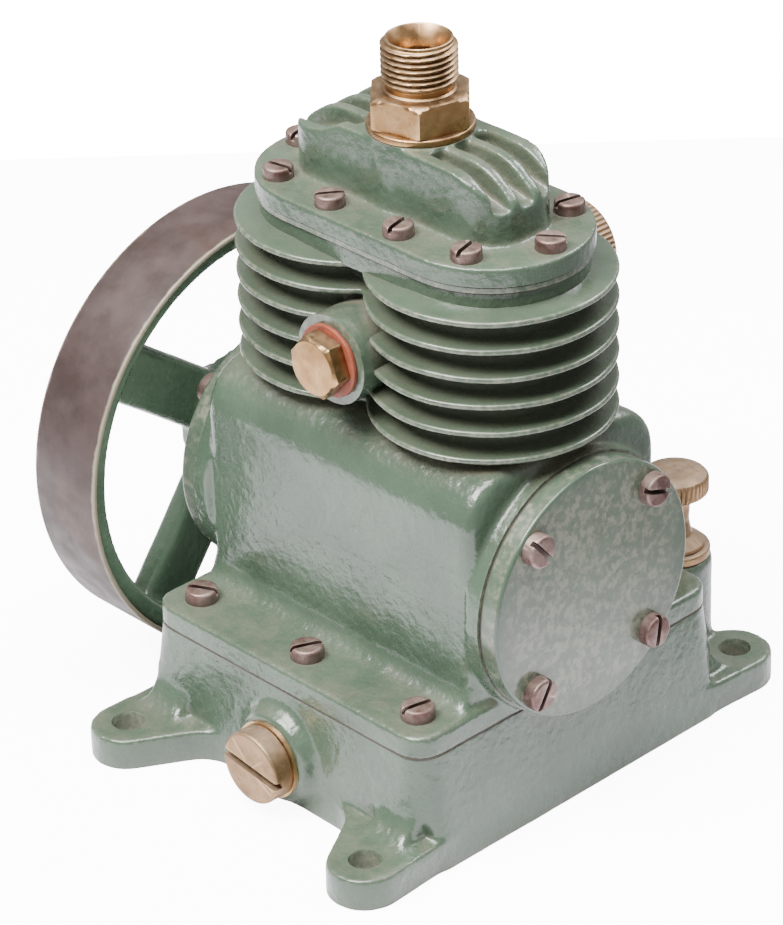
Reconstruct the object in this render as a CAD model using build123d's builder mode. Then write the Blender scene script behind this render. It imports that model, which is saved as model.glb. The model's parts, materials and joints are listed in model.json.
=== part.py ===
"""Twin-cylinder air compressor with a belt flywheel, as a bench assembly of separate pieces.

Frame: millimetres, +Z up. The origin is the centre of the four foot holes on the
underside of the base. +X runs along the crankshaft to the blind bearing cover, the
flywheel is at -X, the drain plug faces -Y and the air intake faces +Y.
"""

import math
import os

from build123d import *

os.makedirs("parts", exist_ok=True)

# ---------------------------------------------------------------- driving dimensions
SHAFT_Z = 54.0              # height of the crankshaft axis
CYLINDER_X = 20.4           # each cylinder axis stands this far from the middle
BORE_R = 12.7               # 25.4 mm bore
THROW = 6.35                # crank throw, half the 12.7 mm stroke
ROD_LENGTH = 45.0           # crankpin to gudgeon pin
FIT = 0.05                  # running clearance on the radius

# base sump
FOOT_X = 39.0               # foot holes, half spacing
FOOT_Y = 59.0
FOOT_HOLE_R = 3.6
FOOT_R = 8.6                # round end of each lug
FOOT_T = 7.5                # thickness of each lug
SUMP_H = 27.0               # top face of the base
SUMP_X = 43.5               # half width at the top face
SUMP_Y = 46.5
SUMP_FOOT_X = 47.4          # half width at the floor
SUMP_FOOT_Y = 48.0
CORNER_R = 6.0
SUMP_FLOOR_T = 5.0
SUMP_CAVITY_X = 36.5
SUMP_CAVITY_Y = 30.5
GASKET_T = 0.6

# crankcase
CASE_Z = SUMP_H + GASKET_T
FLANGE_T = 5.0
BODY_X = 42.0               # half length of the case body
BODY_Y = 29.0
BODY_TOP = 86.5
SHOULDER_R = 12.0
CASE_CAVITY_X = 36.0
CASE_CAVITY_Y = 24.0
CASE_ROOF_Z = 80.5
HOUSING_R = 30.4            # round pads that carry the bearing covers
HOUSING_X = 45.3
HOUSING_BORE_R = 22.0

# bearing covers
COVER_R = 29.75
COVER_GASKET_T = 0.5
COVER_T = 4.5
COVER_SCREW = 17.9          # square pattern, half spacing
COVER_IN_X = HOUSING_X + COVER_GASKET_T
COVER_OUT_X = COVER_IN_X + COVER_T
BOSS_R = 11.5
BOSS_IN_X = 33.0
BUSH_R = 9.0
JOURNAL_R = 6.5

# cylinders and fins
BARREL_R = 20.5
FIN_R = 27.4
FIN_LOW_Z = 89.0
FIN_PITCH = 6.5
FIN_COUNT = 6
FIN_ROOT_T = 2.3
FIN_TIP_T = 1.5
DECK_Z = 126.0
LINER_R = 14.7
LINER_BOTTOM_Z = 83.0
PORT_Z = 102.6              # height of the waist bosses
PORT_BOSS_R = 10.3
PORT_BOSS_Y = 28.2

# head
HEAD_ARC_X = 21.0
HEAD_R = 22.0
HEAD_GASKET_T = 0.3
PLATE_T = 1.2
PLATE_Z = DECK_Z + HEAD_GASKET_T
HEAD_Z = PLATE_Z + PLATE_T + HEAD_GASKET_T
HEAD_FLANGE_T = 4.3
HEAD_TOP = HEAD_Z + HEAD_FLANGE_T
HEAD_SCREW_R = 17.3
RIB_TOP_Z = 148.0
TOWER_X = 32.0
TOWER_Y = 11.4
ARCH_FLAT_X = 15.0          # the rib crests are level out to here
ARCH_TOP_Z = 147.8
NOSE_Z = 139.0              # the crests have dropped to here at the two ends
RIB_PITCH = 6.4
RIB_T = 2.7
SEAT_R = 11.9               # round seat of the outlet adapter
FRONT_LOW_Z = 144.0         # top of the front wall at its left end

# flywheel
WHEEL_R = 53.5
WHEEL_IN_R = 47.8
WHEEL_NEAR_X = -54.9
WHEEL_FAR_X = -73.5
HUB_R = 16.0
HUB_NEAR_X = -53.0
HUB_FAR_X = -66.0
SPOKE_COUNT = 4
SPOKE_W = 14.5
SPOKE_T = 7.0
SPOKE_X = -64.0             # middle plane of the spokes
SPOKE_ANGLE = 54.0          # first spoke above the +Y direction

# screws
SCREW_R = 1.95              # 4 mm screws
TAPPED_R = 2.0
CLEAR_R = 2.2


# ---------------------------------------------------------------- helpers
def shaft_plane(x):
    """Plane square to the crankshaft at x: local x is +Y, local y is +Z."""
    return Plane(origin=(x, 0, SHAFT_Z), x_dir=(0, 1, 0), z_dir=(1, 0, 0))


def side_plane(y, z):
    """Plane square to the Y axis at y, looking out along +Y."""
    return Plane(origin=(0, y, z), x_dir=(-1, 0, 0), z_dir=(0, 1, 0))


def save(builder, name):
    """Label a finished piece and write it as one STEP file."""
    builder.part.label = name
    export_step(builder.part, f"parts/{name}.step")


def cheese_screw(head_r, head_h, length):
    """Slotted cheese-head screw, seated on z=0 with its shank down."""
    slot_w = head_r * 0.3
    slot_d = head_h * 0.5
    with BuildPart() as screw:
        with BuildSketch(Plane.XY):
            Circle(head_r)
        extrude(amount=head_h)
        top = screw.edges().group_by(Axis.Z)[-1]
        fillet(top, radius=head_h * 0.3)
        with BuildSketch(Plane.XY):
            Circle(SCREW_R)
        extrude(amount=-length)
        with BuildSketch(Plane.XY.offset(head_h - slot_d)):
            Rectangle(head_r * 3, slot_w)
        extrude(amount=slot_d * 2, mode=Mode.SUBTRACT)
    return screw.part


def obround(center_x, radius):
    """Two arcs about x = +-center_x joined by straight sides."""
    return SlotCenterToCenter(2 * center_x, 2 * radius)


def lug_positions():
    """The four foot-hole centres as sign pairs."""
    return [(sx, sy) for sx in (-1, 1) for sy in (-1, 1)]


# ---------------------------------------------------------------- base sump
DRAIN_Z = 11.5
DRAIN_FACE_Y = -50.8
DRAIN_BORE_R = 6.0
NECK_X = 23.0
NECK_Y = 55.6
NECK_R = 8.7
NECK_TOP = 28.5
NECK_BORE_R = 5.3
GUSSET_T = 8.0              # half width of the concave web over each lug
GUSSET_TOP = 16.5
GUSSET_Y = 53.5
FLANGE_SCREW_X = 35.0
FLANGE_SCREW_Y = 38.5
flange_points = [(x, y) for x in (-FLANGE_SCREW_X, 0, FLANGE_SCREW_X) for y in (-FLANGE_SCREW_Y, FLANGE_SCREW_Y)]

# one lug: a round end about its hole, tapering out to the wall, with a concave web above
taper = math.radians(150)
tangent = (FOOT_X + FOOT_R * math.cos(taper), FOOT_Y + FOOT_R * math.sin(taper))
taper_foot = (tangent[0] - 22 * math.sin(taper), tangent[1] + 22 * math.cos(taper))
with BuildPart() as lug:
    with BuildSketch(Plane.XY):
        with Locations((FOOT_X, FOOT_Y)):
            Circle(FOOT_R)
        with BuildLine():
            Polyline(
                tangent,
                taper_foot,
                (FOOT_X + FOOT_R, taper_foot[1]),
                (FOOT_X + FOOT_R, FOOT_Y),
                (FOOT_X, FOOT_Y),
                close=True,
            )
        make_face()
    extrude(amount=FOOT_T)
    with BuildSketch(Plane.YZ.offset(FOOT_X - GUSSET_T)):
        with BuildLine():
            Polyline((SUMP_Y, GUSSET_TOP), (SUMP_Y - 3, FOOT_T - 1), (GUSSET_Y, FOOT_T - 1), (GUSSET_Y, FOOT_T))
            RadiusArc((GUSSET_Y, FOOT_T), (SUMP_Y, GUSSET_TOP), 10)
        make_face()
    extrude(amount=2 * GUSSET_T)
lug_pair = lug.part + mirror(lug.part, about=Plane.YZ)
lugs = lug_pair + mirror(lug_pair, about=Plane.XZ)

with BuildPart() as base_sump:
    with BuildSketch(Plane.XY):
        RectangleRounded(2 * SUMP_FOOT_X, 2 * SUMP_FOOT_Y, CORNER_R + 1)
    with BuildSketch(Plane.XY.offset(SUMP_H)):
        RectangleRounded(2 * SUMP_X, 2 * SUMP_Y, CORNER_R)
    loft()
    add(lugs)
    # drain boss, a cone off the front wall
    with BuildSketch(side_plane(-44, DRAIN_Z)):
        Circle(13.5)
    with BuildSketch(side_plane(DRAIN_FACE_Y, DRAIN_Z)):
        Circle(10.2)
    loft()
    # filler neck on the rear wall
    with BuildSketch(Plane.XY):
        with Locations((NECK_X, NECK_Y)):
            Circle(NECK_R)
        with Locations((NECK_X, NECK_Y - NECK_R)):
            Rectangle(2 * NECK_R, 2 * NECK_R)
    extrude(amount=SUMP_H - 3)
    with BuildSketch(Plane.XY):
        with Locations((NECK_X, NECK_Y)):
            Circle(NECK_R)
    extrude(amount=NECK_TOP)
    # lower part of the two bearing pads
    for x in (-HOUSING_X, SUMP_X - 1):
        with BuildSketch(shaft_plane(x)):
            Circle(HOUSING_R)
        extrude(amount=HOUSING_X - SUMP_X + 1)
    with BuildSketch(Plane.XY.offset(SUMP_H)):
        with Locations((HOUSING_X - 5, 0), (-HOUSING_X + 5, 0)):
            Rectangle(14, 4 * HOUSING_R)
    extrude(amount=4 * HOUSING_R, mode=Mode.SUBTRACT)
    # oil space, open at the top
    with BuildSketch(Plane.XY.offset(SUMP_FLOOR_T)):
        RectangleRounded(2 * SUMP_CAVITY_X, 2 * SUMP_CAVITY_Y, CORNER_R)
    extrude(amount=SUMP_H, mode=Mode.SUBTRACT)
    # drain, filler and screw holes
    with BuildSketch(side_plane(DRAIN_FACE_Y - 1, DRAIN_Z)):
        Circle(DRAIN_BORE_R)
    extrude(amount=25, mode=Mode.SUBTRACT)
    with BuildSketch(Plane.XY.offset(7)):
        with Locations((NECK_X, NECK_Y)):
            Circle(NECK_BORE_R)
    extrude(amount=NECK_TOP, mode=Mode.SUBTRACT)
    with BuildSketch(side_plane(SUMP_CAVITY_Y - 2, 12.5)):
        with Locations((-NECK_X, 0)):
            Circle(4.5)
    extrude(amount=NECK_Y - SUMP_CAVITY_Y + 2, mode=Mode.SUBTRACT)
    with BuildSketch(Plane.XY.offset(SUMP_H)):
        with Locations(*flange_points):
            Circle(TAPPED_R)
    extrude(amount=-13, mode=Mode.SUBTRACT)
    with BuildSketch(Plane.XY):
        with Locations(*[(sx * FOOT_X, sy * FOOT_Y) for sx, sy in lug_positions()]):
            Circle(FOOT_HOLE_R)
    extrude(amount=FOOT_T, mode=Mode.SUBTRACT)
    # the underside is one flat face
    with BuildSketch(Plane.XY):
        Rectangle(300, 300)
    extrude(amount=-60, mode=Mode.SUBTRACT)
save(base_sump, "base_sump")

with BuildPart() as base_gasket:
    with BuildSketch(Plane.XY.offset(SUMP_H)):
        RectangleRounded(2 * SUMP_X, 2 * SUMP_Y, CORNER_R)
        RectangleRounded(2 * SUMP_CAVITY_X, 2 * SUMP_CAVITY_Y, CORNER_R, mode=Mode.SUBTRACT)
        with Locations(*flange_points):
            Circle(CLEAR_R, mode=Mode.SUBTRACT)
    extrude(amount=GASKET_T)
save(base_gasket, "base_gasket")

DRAIN_WASHER_T = 1.0
DRAIN_HEAD_R = 8.6
DRAIN_HEAD_T = 5.2
with BuildPart() as drain_washer:
    with BuildSketch(side_plane(DRAIN_FACE_Y - DRAIN_WASHER_T, DRAIN_Z)):
        Circle(DRAIN_HEAD_R + 0.6)
        Circle(DRAIN_BORE_R + 0.1, mode=Mode.SUBTRACT)
    extrude(amount=DRAIN_WASHER_T)
save(drain_washer, "drain_washer")

drain_head_y = DRAIN_FACE_Y - DRAIN_WASHER_T
with BuildPart() as drain_plug:
    with BuildSketch(side_plane(drain_head_y - DRAIN_HEAD_T, DRAIN_Z)):
        Circle(DRAIN_HEAD_R)
    extrude(amount=DRAIN_HEAD_T)
    fillet(drain_plug.edges().group_by(Axis.Y)[0], radius=0.8)
    with BuildSketch(side_plane(drain_head_y, DRAIN_Z)):
        Circle(DRAIN_BORE_R - FIT)
    extrude(amount=14)
    with BuildSketch(side_plane(drain_head_y - DRAIN_HEAD_T, DRAIN_Z)):
        Rectangle(4 * DRAIN_HEAD_R, 1.9, rotation=8)
    extrude(amount=2.0, mode=Mode.SUBTRACT)
save(drain_plug, "drain_plug")

# ---------------------------------------------------------------- filler
COLLAR_T = 2.2
COLLAR_TOP = NECK_TOP + COLLAR_T
KNOB_LOW = 44.6
KNOB_TOP = 49.4
with BuildPart() as filler_collar:
    with BuildSketch(Plane.XZ):
        with BuildLine():
            Polyline(
                (NECK_BORE_R - 1, 20),
                (NECK_BORE_R - FIT, 20),
                (NECK_BORE_R - FIT, NECK_TOP),
                (8.3, NECK_TOP),
                (8.3, COLLAR_TOP),
                (NECK_BORE_R - 1, COLLAR_TOP),
                close=True,
            )
        make_face()
    revolve(axis=Axis.Z)
filler_collar.part = Pos(NECK_X, NECK_Y, 0) * filler_collar.part
save(filler_collar, "filler_collar")

with BuildPart() as filler_cap:
    with BuildSketch(Plane.XZ):
        with BuildLine():
            Polyline(
                (0, 9),
                (1.2, 9),
                (1.2, 21),
                (NECK_BORE_R - 1 - 2 * FIT, 22),
                (NECK_BORE_R - 1 - 2 * FIT, COLLAR_TOP),
                (7.2, COLLAR_TOP),
                (6.6, COLLAR_TOP + 1),
                (3.9, COLLAR_TOP + 3),
                (3.3, COLLAR_TOP + 6),
                (3.6, KNOB_LOW),
                (7.8, KNOB_LOW),
                (7.8, KNOB_TOP - 0.8),
                (6.5, KNOB_TOP),
                (0, KNOB_TOP + 1),
                close=True,
            )
        make_face()
    revolve(axis=Axis.Z)
filler_cap.part = Pos(NECK_X, NECK_Y, 0) * filler_cap.part
save(filler_cap, "filler_cap")

# ---------------------------------------------------------------- crankcase and cylinders, one casting
cover_screw_points = [(y, z) for y in (-COVER_SCREW, COVER_SCREW) for z in (-COVER_SCREW, COVER_SCREW)]
head_screw_points = [
    (sx * (HEAD_ARC_X + HEAD_SCREW_R * math.cos(a)), sy * HEAD_SCREW_R * math.sin(a))
    for sx in (-1, 1)
    for sy, a in ((1, 0.0), (1, 1.1), (-1, 1.1))
]
head_screw_points += [(sx * HEAD_ARC_X / 2, sy * HEAD_SCREW_R) for sx in (-1, 1) for sy in (-1, 1)]

with BuildPart() as crankcase_block:
    with BuildSketch(Plane.YZ.offset(-BODY_X)):
        with Locations((0, (CASE_Z + BODY_TOP) / 2)):
            Rectangle(2 * BODY_Y, BODY_TOP - CASE_Z)
    extrude(amount=2 * BODY_X)
    fillet(crankcase_block.edges().filter_by(Axis.X).group_by(Axis.Z)[-1], radius=SHOULDER_R)
    end_edges = crankcase_block.edges().filter_by(Axis.X, reverse=True)
    fillet(end_edges.filter_by(lambda e: e.center().Z > CASE_Z + 1), radius=3.0)
    with BuildSketch(Plane.XY.offset(CASE_Z)):
        RectangleRounded(2 * SUMP_X, 2 * SUMP_Y, CORNER_R)
    extrude(amount=FLANGE_T)
    root = crankcase_block.edges().filter_by(Axis.X)
    root = root.filter_by(lambda e: abs(e.center().Z - CASE_Z - FLANGE_T) < 0.1)
    root = root.filter_by(lambda e: abs(abs(e.center().Y) - BODY_Y) < 0.1)
    fillet(root, radius=5.5)
    # round pads for the bearing covers
    for x in (-HOUSING_X, BODY_X - 1):
        with BuildSketch(shaft_plane(x)):
            Circle(HOUSING_R)
        extrude(amount=HOUSING_X - BODY_X + 1)
    # barrels, deck and fins
    with BuildSketch(Plane.XY.offset(BODY_TOP - 8)):
        with Locations((-CYLINDER_X, 0), (CYLINDER_X, 0)):
            Circle(BARREL_R)
    extrude(amount=DECK_Z - BODY_TOP + 8)
    for i in range(FIN_COUNT):
        z = FIN_LOW_Z + i * FIN_PITCH
        with BuildSketch(Plane.XY.offset(z - FIN_TIP_T / 2)):
            with Locations((-CYLINDER_X, 0), (CYLINDER_X, 0)):
                Circle(FIN_R)
        extrude(amount=FIN_TIP_T)
    with BuildSketch(Plane.XY.offset(FIN_LOW_Z + (FIN_COUNT - 1) * FIN_PITCH)):
        obround(HEAD_ARC_X, HEAD_R - 0.9)
    extrude(amount=DECK_Z - FIN_LOW_Z - (FIN_COUNT - 1) * FIN_PITCH)
    # web between the barrels, and the two waist bosses
    with BuildSketch(Plane.XY.offset(BODY_TOP - 8)):
        Rectangle(2 * CYLINDER_X, 2 * 15.5)
    extrude(amount=DECK_Z - BODY_TOP + 8)
    with BuildSketch(side_plane(-PORT_BOSS_Y, PORT_Z)):
        Circle(PORT_BOSS_R)
    extrude(amount=2 * PORT_BOSS_Y)
    # crank space, roof and bores
    with BuildSketch(Plane.XY.offset(CASE_Z)):
        RectangleRounded(2 * CASE_CAVITY_X, 2 * CASE_CAVITY_Y, 4)
    extrude(amount=CASE_ROOF_Z - CASE_Z, mode=Mode.SUBTRACT)
    with BuildSketch(Plane.XY.offset(CASE_Z)):
        with Locations((-CYLINDER_X, 0), (CYLINDER_X, 0)):
            Circle(LINER_R)
    extrude(amount=DECK_Z - CASE_Z, mode=Mode.SUBTRACT)
    with BuildSketch(shaft_plane(-HOUSING_X)):
        Circle(HOUSING_BORE_R)
    extrude(amount=2 * HOUSING_X, mode=Mode.SUBTRACT)
    # the pads are cut level with the joint face
    with BuildSketch(Plane.XY.offset(CASE_Z)):
        Rectangle(300, 300)
    extrude(amount=-60, mode=Mode.SUBTRACT)
    # air ways: each waist boss has a drilling that turns up to the deck
    for sy in (-1, 1):
        with BuildSketch(side_plane(sy * PORT_BOSS_Y, PORT_Z)):
            Circle(5.0)
        extrude(amount=-sy * 12, mode=Mode.SUBTRACT)
        with BuildSketch(Plane.XY.offset(PORT_Z)):
            with Locations((0, sy * 17.8)):
                Circle(2.0)
        extrude(amount=DECK_Z - PORT_Z, mode=Mode.SUBTRACT)
    # screw holes
    with BuildSketch(Plane.XY.offset(CASE_Z)):
        with Locations(*flange_points):
            Circle(CLEAR_R)
    extrude(amount=FLANGE_T * 3, mode=Mode.SUBTRACT)
    with BuildSketch(Plane.XY.offset(DECK_Z)):
        with Locations(*head_screw_points):
            Circle(TAPPED_R)
    extrude(amount=-9, mode=Mode.SUBTRACT)
    for x, direction in ((-HOUSING_X, 1), (HOUSING_X, -1)):
        with BuildSketch(shaft_plane(x)):
            with Locations(*cover_screw_points):
                Circle(TAPPED_R)
        extrude(amount=direction * 8.5, mode=Mode.SUBTRACT)
save(crankcase_block, "crankcase_block")

flange_screw = cheese_screw(3.85, 3.0, 14)
with BuildPart() as flange_screws:
    for index, (x, y) in enumerate(flange_points):
        with Locations((x, y, CASE_Z + FLANGE_T)):
            add(flange_screw, rotation=(0, 0, 40 + 67 * index))
save(flange_screws, "flange_screws")

for name, side in (("cylinder_liner_left", -1), ("cylinder_liner_right", 1)):
    with BuildPart() as liner:
        with BuildSketch(Plane.XY.offset(LINER_BOTTOM_Z)):
            with Locations((side * CYLINDER_X, 0)):
                Circle(LINER_R)
                Circle(BORE_R, mode=Mode.SUBTRACT)
        extrude(amount=DECK_Z - LINER_BOTTOM_Z)
    save(liner, name)

# ---------------------------------------------------------------- bearing covers
for name, side in (("bearing_cover_gasket", 1), ("flywheel_side_gasket", -1)):
    with BuildPart() as cover_gasket:
        with BuildSketch(shaft_plane(side * HOUSING_X)):
            Circle(COVER_R)
            Circle(HOUSING_BORE_R + 0.6, mode=Mode.SUBTRACT)
            with Locations(*cover_screw_points):
                Circle(CLEAR_R, mode=Mode.SUBTRACT)
        extrude(amount=side * COVER_GASKET_T)
    save(cover_gasket, name)

SPIGOT_R = HOUSING_BORE_R - FIT
SPIGOT_T = 4.0
for name, side in (("bearing_cover", 1), ("flywheel_side_cover", -1)):
    with BuildPart() as cover:
        with BuildSketch(shaft_plane(side * COVER_IN_X)):
            Circle(COVER_R)
        extrude(amount=side * COVER_T)
        outer = cover.edges().filter_by(GeomType.CIRCLE).sort_by(Axis.X)
        fillet(outer[-1] if side > 0 else outer[0], radius=0.7)
        with BuildSketch(shaft_plane(side * COVER_IN_X)):
            Circle(SPIGOT_R)
        extrude(amount=-side * SPIGOT_T)
        with BuildSketch(shaft_plane(side * COVER_IN_X)):
            Circle(BOSS_R)
        extrude(amount=-side * (COVER_IN_X - BOSS_IN_X))
        with BuildSketch(shaft_plane(side * BOSS_IN_X)):
            Circle(BUSH_R)
        extrude(amount=side * (COVER_IN_X - BOSS_IN_X), mode=Mode.SUBTRACT)
        with BuildSketch(shaft_plane(side * COVER_OUT_X)):
            with Locations(*cover_screw_points):
                Circle(CLEAR_R)
        extrude(amount=-side * 12, mode=Mode.SUBTRACT)
        if side < 0:
            with BuildSketch(shaft_plane(-COVER_OUT_X)):
                Circle(10.0)
            extrude(amount=COVER_T, mode=Mode.SUBTRACT)
    save(cover, name)

cover_screw = cheese_screw(3.85, 3.0, 12)
for name, side in (("bearing_cover_screws", 1), ("flywheel_side_screws", -1)):
    with BuildPart() as cover_screws:
        for index, (y, z) in enumerate(cover_screw_points):
            with Locations(Location((side * COVER_OUT_X, y, SHAFT_Z + z), (0, side * 90, 0))):
                add(cover_screw, rotation=(0, 0, 25 + 50 * index))
    save(cover_screws, name)

for name, side in (("main_bush_left", -1), ("main_bush_right", 1)):
    with BuildPart() as bush:
        with BuildSketch(shaft_plane(side * (BOSS_IN_X + 0.5))):
            Circle(BUSH_R)
            Circle(JOURNAL_R + FIT, mode=Mode.SUBTRACT)
        extrude(amount=side * 10.5)
    save(bush, name)

with BuildPart() as shaft_seal:
    with BuildSketch(shaft_plane(-COVER_OUT_X)):
        Circle(10.0)
        Circle(JOURNAL_R + FIT, mode=Mode.SUBTRACT)
    extrude(amount=COVER_T - 0.5)
save(shaft_seal, "shaft_seal")

# ---------------------------------------------------------------- crankshaft, left throw up at rest
PIN_R = 5.0
PIN_HALF = 5.5
WEB_R = 12.6
WEB_T = 5.0
SHAFT_END_R = 5.0
SHAFT_END_X = -76.5
web_out = CYLINDER_X + PIN_HALF + WEB_T
web_in = CYLINDER_X - PIN_HALF - WEB_T

with BuildPart() as crankshaft:
    with BuildSketch(shaft_plane(SHAFT_END_X)):
        Circle(SHAFT_END_R)
    extrude(amount=HUB_FAR_X - SHAFT_END_X)
    with BuildSketch(shaft_plane(HUB_FAR_X)):
        Circle(JOURNAL_R)
    extrude(amount=-HUB_FAR_X - web_out)
    with BuildSketch(shaft_plane(-web_in)):
        Circle(JOURNAL_R)
    extrude(amount=2 * web_in)
    with BuildSketch(shaft_plane(web_out)):
        Circle(JOURNAL_R)
    extrude(amount=12.3)
    for side in (-1, 1):
        for x in (side * web_in, side * (web_out - WEB_T)):
            with BuildSketch(shaft_plane(x)):
                Circle(WEB_R)
            extrude(amount=side * WEB_T)
        with BuildSketch(shaft_plane(side * CYLINDER_X - PIN_HALF)):
            with Locations((0, -side * THROW)):
                Circle(PIN_R)
        extrude(amount=2 * PIN_HALF)
    # keyway
    with BuildSketch(Plane.XY.offset(SHAFT_Z + JOURNAL_R - 1.5)):
        with Locations((-59.5, 0)):
            Rectangle(10, 3)
    extrude(amount=5, mode=Mode.SUBTRACT)
save(crankshaft, "crankshaft")

with BuildPart() as flywheel_key:
    with BuildSketch(Plane.XY.offset(SHAFT_Z + JOURNAL_R - 1.5)):
        with Locations((-59.5, 0)):
            Rectangle(10, 3)
    extrude(amount=3)
save(flywheel_key, "flywheel_key")

with BuildPart() as flywheel:
    with BuildSketch(shaft_plane(WHEEL_FAR_X)):
        Circle(WHEEL_R)
        Circle(WHEEL_IN_R, mode=Mode.SUBTRACT)
    extrude(amount=WHEEL_NEAR_X - WHEEL_FAR_X)
    chamfer(flywheel.edges().filter_by(GeomType.CIRCLE), length=0.6)
    with BuildSketch(shaft_plane(HUB_FAR_X)):
        Circle(HUB_R)
    extrude(amount=HUB_NEAR_X - HUB_FAR_X)
    for i in range(SPOKE_COUNT):
        angle = math.radians(SPOKE_ANGLE + i * 360 / SPOKE_COUNT)
        spoke_dir = (0, math.cos(angle), math.sin(angle))
        start = HUB_R - 4
        origin = (SPOKE_X, start * spoke_dir[1], SHAFT_Z + start * spoke_dir[2])
        with BuildSketch(Plane(origin=origin, x_dir=(1, 0, 0), z_dir=spoke_dir)):
            RectangleRounded(SPOKE_T, SPOKE_W, 2.5)
        extrude(amount=WHEEL_IN_R - start + 1.5)
    with BuildSketch(shaft_plane(HUB_FAR_X)):
        Circle(JOURNAL_R)
    extrude(amount=HUB_NEAR_X - HUB_FAR_X, mode=Mode.SUBTRACT)
    with BuildSketch(Plane.XY.offset(SHAFT_Z)):
        with Locations((-59.5, 0)):
            Rectangle(20, 3)
    extrude(amount=JOURNAL_R + 1.5, mode=Mode.SUBTRACT)
save(flywheel, "flywheel")

with BuildPart() as shaft_washer:
    with BuildSketch(shaft_plane(HUB_FAR_X)):
        Circle(11.0)
        Circle(SHAFT_END_R + 0.15, mode=Mode.SUBTRACT)
    extrude(amount=-1.6)
save(shaft_washer, "shaft_washer")

with BuildPart() as shaft_nut:
    with BuildSketch(shaft_plane(HUB_FAR_X - 1.6)):
        RegularPolygon(8.5, 6, major_radius=False)
        Circle(SHAFT_END_R, mode=Mode.SUBTRACT)
    extrude(amount=-7.4)
save(shaft_nut, "shaft_nut")

# ---------------------------------------------------------------- connecting rods and pistons
BIG_END_R = 8.2
ROD_HALF = 5.2
SHANK_HALF = 2.8
EAR_Y = 11.5
EAR_H = 4.0
EAR_SCREW_Y = 9.4
SMALL_END_R = 3.7
GUDGEON_R = 2.0
GUDGEON_HALF = 6.2
PISTON_R = BORE_R - 2 * FIT
PISTON_IN_R = 10.7
PISTON_H = 27.0
CROWN_T = 3.0
PISTON_TDC = 125.4
RING_T = 1.6
RING_DEPTH = 1.3
ring_levels = [2.6 + 3.4 * i for i in range(2)]

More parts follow.
